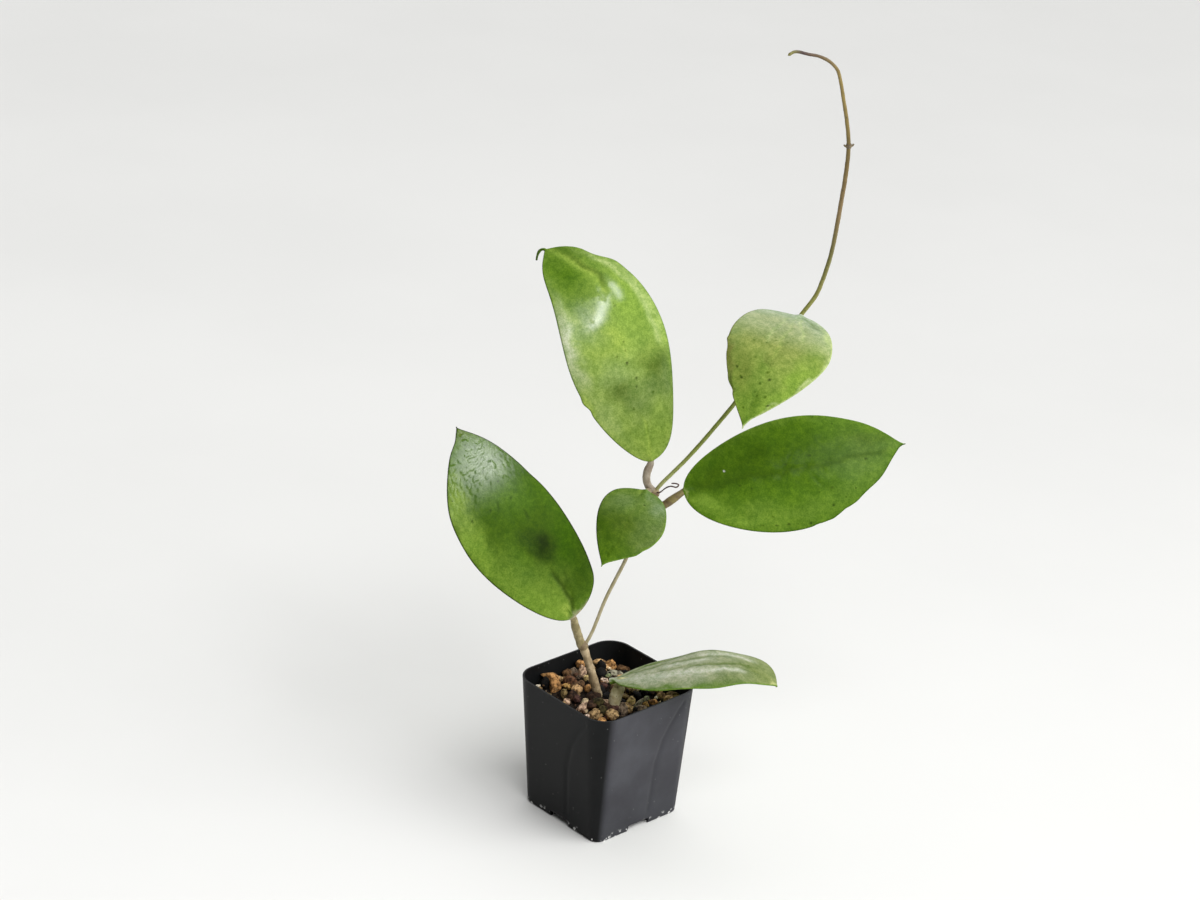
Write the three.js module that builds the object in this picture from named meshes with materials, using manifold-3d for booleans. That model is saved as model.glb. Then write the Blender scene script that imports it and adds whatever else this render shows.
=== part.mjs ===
// A potted hoya: a square nursery pot full of potting mix, an old stem that carries on as a thin
// climbing vine, a short second stem, and six thick leaves. Millimetres, +Z up, standing on z = 0.
import * as THREE from "three";
import { mergeVertices } from "three/addons/utils/BufferGeometryUtils.js";
import Module from "manifold-3d";

const wasm = await Module();
wasm.setup();

// Pot: a tapering box of thin plastic with rounded corners.
const POT_HEIGHT = 80;
const POT_TOP = 75;
const POT_FOOT = 62.5;
const CORNER_TOP = 13;
const CORNER_FOOT = 6;
const CORNER_STEPS = 5;
const WALL = 1.1;
const FOOT_CHAMFER = 1.2;
const CHANNEL_WIDTH = 15.5;
const CHANNEL_HEIGHT = 3.8;
const DRAIN_RADIUS = 3;
const DRAIN_REACH = 14;
const DRAIN_SIDES = 14;
const PAST = 2; // how far a cutter runs past the face it cuts

// Potting mix: heaped in the middle, its grains placed on a jittered lattice.
const GAP = 0.3; // between pieces that touch
const MIX_EDGE = 65.5;
const MIX_CROWN = 70.5;
const GRAIN_PITCH = 7.6;
const GRAIN_SMALL = 2.8;
const GRAIN_LARGE = 4.4;
const GRAIN_SUNK = 0.25;
const GRAIN_JITTER = 1.7;
const GRAIN_DENT = 0.16;
const GRAIN_TILT = 0.7; // the most that a grain leans, in radians
const GRAIN_STRETCH = [[0.95, 1.4], [0.8, 1.1], [0.65, 0.95]]; // least and most along x, y and z
const GRAIN_SKEW = 1.5; // over 1, so that small grains outnumber large ones
const GRAIN_LIFT = 0.5; // a grain stands up to this share of its size higher
const GRAIN_SEED = 4217;
const STREAM_FACTOR = 16807;
const STREAM_LIMIT = 2147483647; // a prime, so the stream never falls to 0
const MIX_SPACE_TOP = 79; // no grain reaches higher
const MIX_SPACE_DEPTH = 8;
const MOUND_RINGS = [1, 0.75, 0.5, 0.25]; // shares of the way out from the middle

// Stems.
const STEM_SIDES = 10;
const VINE_SIDES = 8;
const STALK_SIDES = 6;
const STEM_STEP = 5;
const VINE_STEP = 8;
const STALK_STEP = 2.5;
const STUB_STEP = 1;

// Leaves: thick, waxy blades.
const LEAF_ROWS = 22;
const LEAF_CELLS = 4; // to each side of the midrib
const LEAF_MIDDLE = 1.3;
const LEAF_MARGIN = 0.7;
const BASE_HALF = 1.6;
const TIP_HALF = 0.45;
const HOOK_HALF = 1;
const HOOK_ROWS = 4;
const TIP_SHARE = 0.02; // share of the length over which the outline draws in to the point

const POT_COLOUR = 0x2b2d30;
const POT_ROUGHNESS = 0.5;
const MIX_COLOUR = 0x8a5f3a;
const MIX_ROUGHNESS = 0.95;
const VINE_COLOUR = 0x9a8a63;
const BASAL_COLOUR = 0xa59b83;
const STEM_ROUGHNESS = 0.7;
const LEAF_ROUGHNESS = 0.35;

// The plant stands turned against the pot: its spread runs along its own x, its depth along y.
const PLANT_TURN = 47.4;

// Each leaf: the four control points of its midrib, the way its upper face looks at the base and at the
// tip (degrees round from -y, and above the horizon), and for each side the half width, the sine terms
// that shape its outline, and how far its margin droops. wave is the height of the margin's ripple.
const LEAVES = {
  leaf_left: {
    midrib: [[-21, 0, 118], [-45, 3.5, 152], [-70, 23, 179.5], [-90, 36.5, 212.5]],
    facing: [[11, 25], [16, 38]],
    left: { half: 26.5, sines: [0.05, -0.12, 0.03], droop: 2.5 },
    right: { half: 28, sines: [0.18, -0.01, 0.04], droop: 3 },
    wave: 0.7,
    ripples: 2.3,
    colour: 0x4d8420,
  },
  leaf_upper: {
    midrib: [[17, 8, 211.5], [1, 19, 249], [-1, 28.5, 298.5], [-47, 59, 311]],
    facing: [[5, 20], [4, 54]],
    left: { half: 27.5, sines: [-0.02, -0.05, -0.04], droop: 4.5 },
    right: { half: 27.5, sines: [-0.03, -0.02, 0.05], droop: 7.5 },
    hook: [[-50.5, 60, 311], [-51, 59, 304.6]],
    wave: 0.8,
    ripples: 2.6,
    colour: 0x7ba545,
  },
  leaf_right: {
    midrib: [[35.5, 4, 197], [76, 1.5, 205], [112.5, 6.5, 216.5], [152.5, 16, 226]],
    facing: [[4, 28], [10, 37]],
    left: { half: 28, sines: [0.05, -0.08, 0.02], droop: 4.5 },
    right: { half: 28, sines: [0.12, -0.12, 0.04], droop: 3.5 },
    wave: 0.6,
    ripples: 2.1,
    colour: 0x47731f,
  },
  leaf_small: {
    midrib: [[15, -3.5, 198], [8.5, -19.5, 192.5], [4, -36, 189.5], [-7, -46, 173.5]],
    facing: [[-3, 77], [-13, 48]],
    left: { half: 17, sines: [0.18, -0.09, 0.06], droop: 3 },
    right: { half: 18, sines: [0.28, 0.04, 0.04], droop: 1 },
    wave: 0.4,
    ripples: 2.4,
    colour: 0x4c7a33,
  },
  leaf_high: {
    midrib: [[91.5, 13, 297.5], [82, -21, 306], [73.5, -47.5, 300], [61.5, -60.5, 265]],
    facing: [[16, 78], [-13, 48]],
    left: { half: 25, sines: [0.14, -0.1, 0.04], droop: 3.5 },
    right: { half: 26, sines: [0.19, -0.01, 0.04], droop: 0.5 },
    wave: 0.6,
    ripples: 2.2,
    colour: 0x8fb04e,
  },
  leaf_basal: {
    midrib: [[4, -12, 86], [29.5, -23, 97.5], [66.5, -17, 115], [92.5, -24, 94.5]],
    facing: [[4, 88], [5, 86]],
    left: { half: 19, sines: [-0.12, 0.08, -0.06], droop: 2 },
    right: { half: 18, sines: [-0.01, -0.14, 0], droop: 2 },
    wave: 0.8,
    ripples: 2.5,
    colour: 0x7c9a62,
  },
};

// Each stretch of stem: the points its centre passes through, and its radius at the start, the middle
// and the end. A stalk that bears a leaf ends just short of the base of its blade.
const OLD_STEM = {
  points: [
    [0, -2, 42], [-0.5, -1.5, 56], [-2.5, -0.8, 67], [-5.5, 0, 75], [-10.5, 0, 89.5], [-15, 0, 101.5],
  ],
  radii: [2.6, 2.5, 2.3],
};
const BASAL_STEM = {
  points: [[3.2, -16.5, 46], [3.5, -16, 60], [3.8, -15.3, 71], [4.6, -14.4, 77.5], [6.4, -13, 83.2]],
  radii: [2.9, 3, 3.2],
};
const CLIMBING_VINE = {
  points: [
    [-14, 0, 100.5], [-9, 1, 110], [-3.2, 3, 128.5], [7.4, 6, 154], [14, 7, 174], [18, 5, 188],
    [20, 3, 196], [37.5, 6, 216], [60, 11, 245.5], [76, 17, 270.5], [87, 21, 287], [91.5, 22.5, 295],
    [98.5, 22, 306.5], [102, 21, 317], [105, 18, 332], [106.5, 14, 351], [107.5, 11, 366],
    [108.5, 8, 378.5], [108.5, 5, 396.5], [106.5, 2, 411.5], [103.5, 1, 421.5], [101.5, 0, 432],
    [99, -1, 438.5], [94.5, -2, 443], [89.5, -3, 445.5], [83.5, -5, 447], [76.5, -7, 448.5],
    [73, -9, 447],
  ],
  radii: [1.2, 1.1, 0.6],
};
const LEAF_STALKS = {
  leaf_left: {
    points: [[-15.5, 0, 100], [-17.5, -0.8, 108], [-19.3, -0.9, 113.5], [-20.4, -0.1, 117]],
    radii: [2.5, 2.4, 1.9],
  },
  leaf_upper: {
    points: [[20, 3, 195], [16.2, 3, 199], [15, 4, 203.5], [15.9, 6, 207.3], [17.1, 7.5, 209.9]],
    radii: [2, 2.2, 1.9],
  },
  leaf_right: {
    points: [[17, 5, 186], [20.5, 3, 185.5], [25, 2, 188.5], [30, 2.6, 193.3], [34.2, 4, 196.6]],
    radii: [1.9, 2.1, 1.7],
  },
  leaf_small: {
    points: [[18, 5, 190.5], [16.6, 2, 195], [15.9, -0.4, 197.5], [15.4, -2.4, 198.3]],
    radii: [1.7, 1.5, 1.1],
  },
  leaf_high: {
    points: [[87, 21, 287], [90.4, 19.5, 292.5], [91.7, 16.6, 296], [91.8, 14.2, 297.2]],
    radii: [1.5, 1.5, 1.1],
  },
};
const FLOWER_STALK = {
  points: [
    [20, 3, 195.5], [22, -1, 197], [25.5, -5, 202], [28, -7, 204], [31, -8, 204], [32, -9, 206],
    [30, -10, 207.2], [28, -11, 207.5],
  ],
  radii: [0.55, 0.45, 0.45],
};
// Swollen joints where leaves and branches grow from the vine: centre and radius.
const JOINTS = [
  { at: [-15, 0, 101], radius: 3 },
  { at: [17.4, 5, 187.5], radius: 2.3 },
  { at: [19.8, 3, 195], radius: 2.7 },
  { at: [87.2, 21, 287.5], radius: 2 },
  { at: [108.6, 5, 396.5], radius: 1.7 },
];
// A pair of undeveloped leaf stubs on the uppermost joint.
const STUBS = [
  { points: [[108.5, 5, 396], [106.8, 4.6, 396.4], [105.9, 4.4, 397.2]], radii: [0.7, 0.6, 0.45] },
  { points: [[108.5, 5, 396], [110.4, 5.4, 396.6], [111.2, 5.5, 397.6]], radii: [0.7, 0.6, 0.45] },
];

function solidFrom(geometry) {
  const bare = geometry.clone();
  bare.deleteAttribute("normal");
  bare.deleteAttribute("uv");
  const merged = mergeVertices(bare, 1e-4);
  return new wasm.Manifold(
    new wasm.Mesh({
      numProp: 3,
      vertProperties: merged.attributes.position.array,
      triVerts: new Uint32Array(merged.index.array),
    }),
  );
}

function geometryFrom(solid) {
  const mesh = solid.getMesh();
  const geometry = new THREE.BufferGeometry();
  geometry.setAttribute("position", new THREE.BufferAttribute(mesh.vertProperties, 3));
  geometry.setIndex(new THREE.BufferAttribute(mesh.triVerts, 1));
  geometry.computeVertexNormals();
  return geometry;
}

// A closed skin over rings that all have the same number of points, each counter-clockwise as seen from
// the last ring's side, with a fan of triangles over both ends.
function loft(rings) {
  const around = rings[0].length;
  const points = rings.flat();
  const index = [];
  for (let i = 0; i + 1 < rings.length; i++) {
    for (let j = 0; j < around; j++) {
      const a = i * around + j;
      const b = i * around + ((j + 1) % around);
      index.push(a, b, b + around, a, b + around, a + around);
    }
  }
  const middle = (ring) => {
    const sum = new THREE.Vector3();
    ring.forEach((p) => sum.add(p));
    return sum.divideScalar(ring.length);
  };
  const first = points.push(middle(rings[0])) - 1;
  const last = points.push(middle(rings[rings.length - 1])) - 1;
  const top = (rings.length - 1) * around;
  for (let j = 0; j < around; j++) {
    const next = (j + 1) % around;
    index.push(first, next, j);
    index.push(last, top + j, top + next);
  }
  const geometry = new THREE.BufferGeometry().setFromPoints(points);
  geometry.setIndex(index);
  return geometry;
}

// The pot's outline at a height, drawn in by inset: a square with rounded corners.
function potRing(z, inset) {
  const share = z / POT_HEIGHT;
  const half = THREE.MathUtils.lerp(POT_FOOT, POT_TOP, share) / 2 - inset;
  const radius = THREE.MathUtils.lerp(CORNER_FOOT, CORNER_TOP, share) - inset;
  const ring = [];
  for (let corner = 0; corner < 4; corner++) {
    for (let step = 0; step <= CORNER_STEPS; step++) {
      const angle = ((corner + step / CORNER_STEPS) * Math.PI) / 2;
      const turn = ((corner + 0.5) * Math.PI) / 2;
      const reach = (half - radius) * Math.SQRT2;
      const x = reach * Math.cos(turn) + radius * Math.cos(angle);
      const y = reach * Math.sin(turn) + radius * Math.sin(angle);
      ring.push(new THREE.Vector3(x, y, z));
    }
  }
  return ring;
}

function box(width, depth, bottom, top) {
  const shape = new THREE.BoxGeometry(width, depth, top - bottom);
  return solidFrom(shape.translate(0, 0, (bottom + top) / 2));
}

// Two bars that cross at the middle, as wide as asked, from below the foot up to a height.
function cross(width, top) {
  return box(2 * POT_TOP, width, -PAST, top).add(box(width, 2 * POT_TOP, -PAST, top));
}

function potSolid() {
  const outside = solidFrom(
    loft([potRing(0, FOOT_CHAMFER), potRing(FOOT_CHAMFER, 0), potRing(POT_HEIGHT, 0)]),
  );
  const roof = CHANNEL_HEIGHT + WALL;
  const inside = solidFrom(loft([potRing(WALL, WALL), potRing(POT_HEIGHT + PAST, WALL)]));
  const hollow = inside.subtract(cross(CHANNEL_WIDTH + 2 * WALL, roof));
  let pot = outside.subtract(hollow).subtract(cross(CHANNEL_WIDTH, CHANNEL_HEIGHT));
  for (const [x, y] of [[0, 0], [1, 0], [0, 1], [-1, 0], [0, -1]]) {
    const drain = new THREE.CylinderGeometry(DRAIN_RADIUS, DRAIN_RADIUS, roof, DRAIN_SIDES);
    drain.rotateX(Math.PI / 2);
    drain.translate(x * DRAIN_REACH, y * DRAIN_REACH, roof);
    pot = pot.subtract(solidFrom(drain));
  }
  return pot;
}

// A repeatable stream of numbers from 0 to 1.
function numberStream(seed) {
  let state = seed;
  return () => {
    state = (state * STREAM_FACTOR) % STREAM_LIMIT;
    return state / STREAM_LIMIT;
  };
}

function moundHeight(x, y) {
  const reach = Math.min(1, Math.max(Math.abs(x), Math.abs(y)) / (POT_TOP / 2 - WALL));
  return THREE.MathUtils.lerp(MIX_CROWN, MIX_EDGE, reach * reach);
}

// One grain: a dented ball of twenty faces, stretched and turned at random.
function grain(draw, x, y) {
  const shape = mergeVertices(pointsOnly(new THREE.IcosahedronGeometry(1, 0)), 1e-4);
  const place = shape.attributes.position;
  for (let i = 0; i < place.count; i++) {
    const dent = 1 - GRAIN_DENT + 2 * GRAIN_DENT * draw();
    place.setXYZ(i, place.getX(i) * dent, place.getY(i) * dent, place.getZ(i) * dent);
  }
  const size = THREE.MathUtils.lerp(GRAIN_SMALL, GRAIN_LARGE, draw() ** GRAIN_SKEW);
  const [long, wide, high] = GRAIN_STRETCH.map(([least, most]) => {
    return size * THREE.MathUtils.lerp(least, most, draw());
  });
  shape.scale(long, wide, high);
  shape.rotateX((2 * draw() - 1) * GRAIN_TILT);
  shape.rotateY((2 * draw() - 1) * GRAIN_TILT);
  shape.rotateZ(draw() * Math.PI);
  const away = GRAIN_JITTER * draw();
  const towards = 2 * Math.PI * draw();
  const px = x + away * Math.cos(towards);
  const py = y + away * Math.sin(towards);
  shape.translate(px, py, moundHeight(px, py) + size * (GRAIN_LIFT * draw() - GRAIN_SUNK));
  return solidFrom(shape);
}

// The shape without its normals and picture coordinates, so that points which coincide can merge.
function pointsOnly(geometry) {
  geometry.deleteAttribute("normal");
  geometry.deleteAttribute("uv");
  return geometry;
}

function mixSolid(holes) {
  const rings = [potRing(WALL + GAP, WALL + GAP)];
  for (const share of MOUND_RINGS) {
    const height = THREE.MathUtils.lerp(MIX_CROWN, MIX_EDGE, share * share);
    const ring = potRing(MIX_EDGE, WALL + GAP);
    ring.forEach((p) => p.multiplyScalar(share).setZ(height));
    rings.push(ring);
  }
  let mix = solidFrom(loft(rings)).subtract(
    cross(CHANNEL_WIDTH + 2 * (WALL + GAP), CHANNEL_HEIGHT + WALL + GAP),
  );
  const draw = numberStream(GRAIN_SEED);
  const grains = [];
  const across = POT_TOP / 2 - WALL;
  const rowPitch = (GRAIN_PITCH * Math.sqrt(3)) / 2;
  const rows = Math.floor(across / rowPitch);
  for (let row = -rows; row <= rows; row++) {
    const shift = row % 2 ? GRAIN_PITCH / 2 : 0;
    for (let x = -across + shift; x <= across; x += GRAIN_PITCH) {
      grains.push(grain(draw, x, row * rowPitch));
    }
  }
  const space = solidFrom(
    loft([MIX_EDGE - MIX_SPACE_DEPTH, MIX_SPACE_TOP].map((z) => potRing(z, WALL + GAP))),
  );
  mix = mix.add(wasm.Manifold.union(grains).intersect(space));
  for (const hole of holes) {
    mix = mix.subtract(hole);
  }
  return largestBody(mix);
}

// A grain that a stem's hole cuts free is dropped.
function largestBody(solid) {
  const bodies = solid.decompose();
  bodies.sort((a, b) => b.volume() - a.volume());
  return bodies[0];
}

// A round stem along its points, with its radius eased from start to middle to end.
function stemSolid({ points, radii }, sides, step, extra = 0) {
  const curve = new THREE.CatmullRomCurve3(points.map((p) => new THREE.Vector3(...p)));
  const count = Math.max(3, Math.round(curve.getLength() / step));
  const frames = curve.computeFrenetFrames(count, false);
  const rings = [];
  for (let i = 0; i <= count; i++) {
    const share = i / count;
    const centre = curve.getPointAt(share);
    const [start, middle, end] = radii;
    const radius =
      share < 0.5
        ? THREE.MathUtils.lerp(start, middle, 2 * share)
        : THREE.MathUtils.lerp(middle, end, 2 * share - 1);
    const ring = [];
    for (let j = 0; j < sides; j++) {
      const angle = (2 * Math.PI * j) / sides;
      const spoke = frames.normals[i].clone().multiplyScalar(Math.cos(angle));
      spoke.addScaledVector(frames.binormals[i], Math.sin(angle));
      ring.push(centre.clone().addScaledVector(spoke, radius + extra));
    }
    rings.push(ring);
  }
  return solidFrom(loft(rings));
}

// The plain hole that a stem stands in: the stem's own shape, wider and a little deeper by the gap.
function stemHole(stem, sides, step) {
  const low = new THREE.Vector3(...stem.points[0]);
  const next = new THREE.Vector3(...stem.points[1]);
  const deeper = low.clone().addScaledVector(next.sub(low).normalize(), -GAP);
  const points = [deeper.toArray(), ...stem.points];
  return stemSolid({ points, radii: stem.radii }, sides, step, GAP);
}

function vineSolid() {
  let vine = stemSolid(OLD_STEM, STEM_SIDES, STEM_STEP);
  vine = vine.add(stemSolid(CLIMBING_VINE, VINE_SIDES, VINE_STEP));
  for (const stalk of Object.values(LEAF_STALKS)) {
    vine = vine.add(stemSolid(stalk, VINE_SIDES, STALK_STEP));
  }
  vine = vine.add(stemSolid(FLOWER_STALK, STALK_SIDES, STALK_STEP));
  for (const stub of STUBS) {
    vine = vine.add(stemSolid(stub, STALK_SIDES, STUB_STEP));
  }
  for (const { at, radius } of JOINTS) {
    const joint = new THREE.IcosahedronGeometry(radius, 1);
    vine = vine.add(solidFrom(joint.translate(...at)));
  }
  return vine;
}

// The direction that lies at an angle round from -y and an angle above the horizon.
function direction([round, above]) {
  const a = THREE.MathUtils.degToRad(round);
  const b = THREE.MathUtils.degToRad(above);
  return new THREE.Vector3(Math.sin(a) * Math.cos(b), -Math.cos(a) * Math.cos(b), Math.sin(b));
}

// The half width of a side at u, which runs from 0 at the base to 1 at the tip: a sum of sines, drawn
// in to a point over the last stretch.
function halfWidth({ half, sines }, u, t) {
  let sum = Math.sin(Math.PI * u);
  sines.forEach((size, k) => {
    sum += size * Math.sin((k + 2) * Math.PI * u);
  });
  return half * Math.max(0, sum) * (1 - Math.exp((t - 1) / TIP_SHARE));
}

// The middle surface of a blade as rows of points, from the base to the tip.
function bladeRows(leaf) {
  const curve = new THREE.CubicBezierCurve3(...leaf.midrib.map((p) => new THREE.Vector3(...p)));
  const [atBase, atTip] = leaf.facing.map(direction);
  const widest = Math.max(leaf.left.half, leaf.right.half);
  const tipHalf = leaf.hook ? HOOK_HALF : TIP_HALF;
  const rows = [];
  let across;
  for (let i = 0; i <= LEAF_ROWS; i++) {
    const u = i / LEAF_ROWS;
    const t = (1 - Math.cos(Math.PI * u)) / 2;
    const centre = curve.getPoint(t);
    const along = curve.getTangent(t);
    const up = atBase.clone().lerp(atTip, t);
    up.addScaledVector(along, -up.dot(along)).normalize();
    across = new THREE.Vector3().crossVectors(along, up);
    const row = [];
    for (let j = -LEAF_CELLS; j <= LEAF_CELLS; j++) {
      const v = j / LEAF_CELLS;
      const side = v < 0 ? leaf.left : leaf.right;
      const floor = t < 0.5 ? BASE_HALF : tipHalf;
      const reach = Math.max(halfWidth(side, u, t), floor) * v;
      const droop = side.droop * (reach / widest) ** 2;
      const ripple = Math.sin(2 * Math.PI * leaf.ripples * t + Math.sign(v)) * Math.sin(Math.PI * t);
      const lift = leaf.wave * ripple * Math.abs(v) ** 3 - droop;
      row.push(centre.clone().addScaledVector(across, reach).addScaledVector(up, lift));
    }
    rows.push(row);
  }
  if (leaf.hook) {
    const hook = new THREE.QuadraticBezierCurve3(
      new THREE.Vector3(...leaf.midrib[3]),
      ...leaf.hook.map((p) => new THREE.Vector3(...p)),
    );
    for (let i = 1; i <= HOOK_ROWS; i++) {
      const reach = THREE.MathUtils.lerp(HOOK_HALF, TIP_HALF, i / HOOK_ROWS);
      const centre = hook.getPoint(i / HOOK_ROWS);
      const row = [];
      for (let j = -LEAF_CELLS; j <= LEAF_CELLS; j++) {
        row.push(centre.clone().addScaledVector(across, (reach * j) / LEAF_CELLS));
      }
      rows.push(row);
    }
  }
  return rows;
}

// A blade: its middle surface thickened to both sides, with both faces split alike and a wall round
// the margin.
function bladeGeometry(leaf) {
  const rows = bladeRows(leaf);
  const last = rows.length - 1;
  const wide = rows[0].length;
  const upper = [];
  const lower = [];
  for (let i = 0; i <= last; i++) {
    for (let j = 0; j < wide; j++) {
      const along = rows[Math.min(i + 1, last)][j].clone().sub(rows[Math.max(i - 1, 0)][j]);
      const across = rows[i][Math.min(j + 1, wide - 1)].clone().sub(rows[i][Math.max(j - 1, 0)]);
      const normal = across.cross(along).normalize();
      const margin = Math.abs(j / LEAF_CELLS - 1);
      const half = THREE.MathUtils.lerp(LEAF_MIDDLE, LEAF_MARGIN, margin) / 2;
      upper.push(rows[i][j].clone().addScaledVector(normal, half));
      lower.push(rows[i][j].clone().addScaledVector(normal, -half));
    }
  }
  const under = upper.length;
  const index = [];
  for (let i = 0; i < last; i++) {
    for (let j = 0; j + 1 < wide; j++) {
      const a = i * wide + j;
      const b = a + 1;
      const c = b + wide;
      const d = a + wide;
      index.push(a, b, c, a, c, d);
      index.push(under + a, under + c, under + b, under + a, under + d, under + c);
    }
  }
  const rim = [];
  for (let j = 0; j + 1 < wide; j++) rim.push(j);
  for (let i = 0; i < last; i++) rim.push(i * wide + wide - 1);
  for (let j = wide - 1; j > 0; j--) rim.push(last * wide + j);
  for (let i = last; i > 0; i--) rim.push(i * wide);
  rim.forEach((a, k) => {
    const b = rim[(k + 1) % rim.length];
    index.push(under + a, under + b, b, under + a, b, a);
  });
  const geometry = new THREE.BufferGeometry().setFromPoints([...upper, ...lower]);
  geometry.setIndex(index);
  geometry.computeVertexNormals();
  return geometry;
}

function piece(name, geometry, colour, roughness) {
  const material = new THREE.MeshStandardMaterial({ color: colour, roughness, metalness: 0 });
  const mesh = new THREE.Mesh(geometry, material);
  mesh.name = name;
  return mesh;
}

const plant = new THREE.Group();
plant.rotation.z = THREE.MathUtils.degToRad(PLANT_TURN);
plant.add(piece("vine", geometryFrom(vineSolid()), VINE_COLOUR, STEM_ROUGHNESS));
const basalStem = geometryFrom(stemSolid(BASAL_STEM, STEM_SIDES, STEM_STEP));
plant.add(piece("basal_stem", basalStem, BASAL_COLOUR, STEM_ROUGHNESS));
for (const [name, leaf] of Object.entries(LEAVES)) {
  plant.add(piece(name, bladeGeometry(leaf), leaf.colour, LEAF_ROUGHNESS));
}

// The holes are cut in the pot's own frame, so the stems' shapes are turned as the plant is.
const holes = [OLD_STEM, BASAL_STEM].map((stem) => {
  return stemHole(stem, STEM_SIDES, STEM_STEP).rotate([0, 0, PLANT_TURN]);
});
const whole = new THREE.Group();
whole.add(piece("pot", geometryFrom(potSolid()), POT_COLOUR, POT_ROUGHNESS));
whole.add(piece("potting_mix", geometryFrom(mixSolid(holes)), MIX_COLOUR, MIX_ROUGHNESS));
whole.add(plant);

// The origin is the middle of the whole object's footprint, on the surface it stands on.
const root = new THREE.Group();
root.add(whole);
root.updateMatrixWorld(true);
const extent = new THREE.Box3().setFromObject(root, true);
const centre = extent.getCenter(new THREE.Vector3());
whole.position.set(-centre.x, -centre.y, 0);

export default root;
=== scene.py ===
import math

import bpy
import numpy as np
from mathutils import Matrix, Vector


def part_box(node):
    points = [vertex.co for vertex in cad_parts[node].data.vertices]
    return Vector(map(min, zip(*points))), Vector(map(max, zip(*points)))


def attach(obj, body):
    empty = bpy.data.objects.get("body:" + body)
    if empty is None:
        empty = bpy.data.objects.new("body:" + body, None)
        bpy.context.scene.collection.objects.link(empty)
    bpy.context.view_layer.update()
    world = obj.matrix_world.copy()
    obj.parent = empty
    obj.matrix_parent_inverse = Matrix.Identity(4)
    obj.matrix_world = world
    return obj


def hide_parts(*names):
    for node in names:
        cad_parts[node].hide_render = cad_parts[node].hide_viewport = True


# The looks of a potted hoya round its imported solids: a square pot of thin plastic, a loose mix of bark,
# pumice and charcoal grains, an old stem with its climbing vine, a short second stem and six waxy leaves.
# Shapes are worked out in millimetres, in the pot's frame or in the plant's, which is turned against it.
# make_piece then puts them in metres, in the frame of the part.

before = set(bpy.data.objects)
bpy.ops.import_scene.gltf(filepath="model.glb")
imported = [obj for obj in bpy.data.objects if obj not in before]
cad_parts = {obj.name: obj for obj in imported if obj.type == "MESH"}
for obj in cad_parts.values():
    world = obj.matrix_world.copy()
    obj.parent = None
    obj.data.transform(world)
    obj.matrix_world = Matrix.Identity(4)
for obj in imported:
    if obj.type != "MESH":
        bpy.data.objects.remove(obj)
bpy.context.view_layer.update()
MM = 0.001
POT_LOW, POT_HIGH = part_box("pot")
POT_MIDDLE = np.array([(POT_LOW.x + POT_HIGH.x) / 2, (POT_LOW.y + POT_HIGH.y) / 2, 0.0])
PLANT_TURN = math.radians(47.4)
SEED = 4217

# The photograph's camera, in the plant's frame: a target, the distance to it and the way it looks down.
PHOTO_WIDTH = 1200
PHOTO_HEIGHT = 900
LENS = 90.0
SENSOR = 36.0
CAMERA_TARGET = np.array([-11.1, 0.0, 220.0])
CAMERA_DISTANCE = 1612.0
CAMERA_DOWN = math.radians(24.2)
CAMERA_ROLL = math.radians(3.0)

# Pot.
POT_TALL = 80.0
POT_TOP = 75.0
POT_FOOT = 62.5
CORNER_TOP = 13.0
CORNER_FOOT = 6.0
WALL = 1.1
FOOT_ROUND = 1.2
CHANNEL_WIDTH = 15.5
CHANNEL_TALL = 3.8
DRAIN_RADIUS = 3.0
DRAIN_REACH = 14.0
DRAIN_PLACES = ((0, 0), (1, 0), (0, 1), (-1, 0), (0, -1))

# Potting mix.
MIX_EDGE = 65.5
MIX_CROWN = 70.5
MIX_FLOOR = 40.0


# ---------------------------------------------------------------- frames, meshes and pieces


def from_pot(points):
    """Pot frame to part frame: scaled to metres, then moved to the pot's middle."""
    return np.asarray(points, float) * MM + POT_MIDDLE


def turned(points, angle):
    """Points turned about the vertical by an angle."""
    c, s = math.cos(angle), math.sin(angle)
    return np.asarray(points, float) @ np.array([[c, s, 0], [-s, c, 0], [0, 0, 1]])


def from_plant(points):
    """Plant frame to part frame: turned by PLANT_TURN, then placed as the pot is."""
    return from_pot(turned(points, PLANT_TURN))


def linear(*srgb):
    """A colour of 0 to 255 as scene-linear numbers, by the sRGB curve."""
    c = np.array(srgb, float) / 255
    return np.where(c <= 0.04045, c / 12.92, ((c + 0.055) / 1.055) ** 2.4)


def palette(tones):
    """Named colours of 0 to 255 as scene-linear numbers."""
    return {name: linear(*srgb) for name, srgb in tones.items()}


def unit(vectors):
    """Vectors divided by their own lengths."""
    return vectors / np.maximum(np.linalg.norm(vectors, axis=-1, keepdims=True), 1e-12)


def blend(a, b, share):
    """a where share is 0, b where it is 1, and a straight mix between."""
    return a + (b - a) * share


def through(start, middle, end, share):
    """start where share is 0, middle where it is a half, end where it is 1, straight mixes between."""
    return np.where(share < 0.5, blend(start, middle, 2 * share), blend(middle, end, 2 * share - 1))


def eased(low, high, x):
    """0 below low, 1 above high, with a smooth step between: s squared times (3 minus 2 s)."""
    s = np.clip((x - low) / (high - low), 0, 1)
    return s * s * (3 - 2 * s)


def bell(x):
    """A bell curve: e to the minus x squared."""
    return np.exp(-(x**2))


def circle(count, radius):
    """Places spaced evenly round a circle, counter-clockwise from x."""
    angle = np.linspace(0, 2 * math.pi, count, endpoint=False)
    return radius * np.stack([np.cos(angle), np.sin(angle)], -1)


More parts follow.
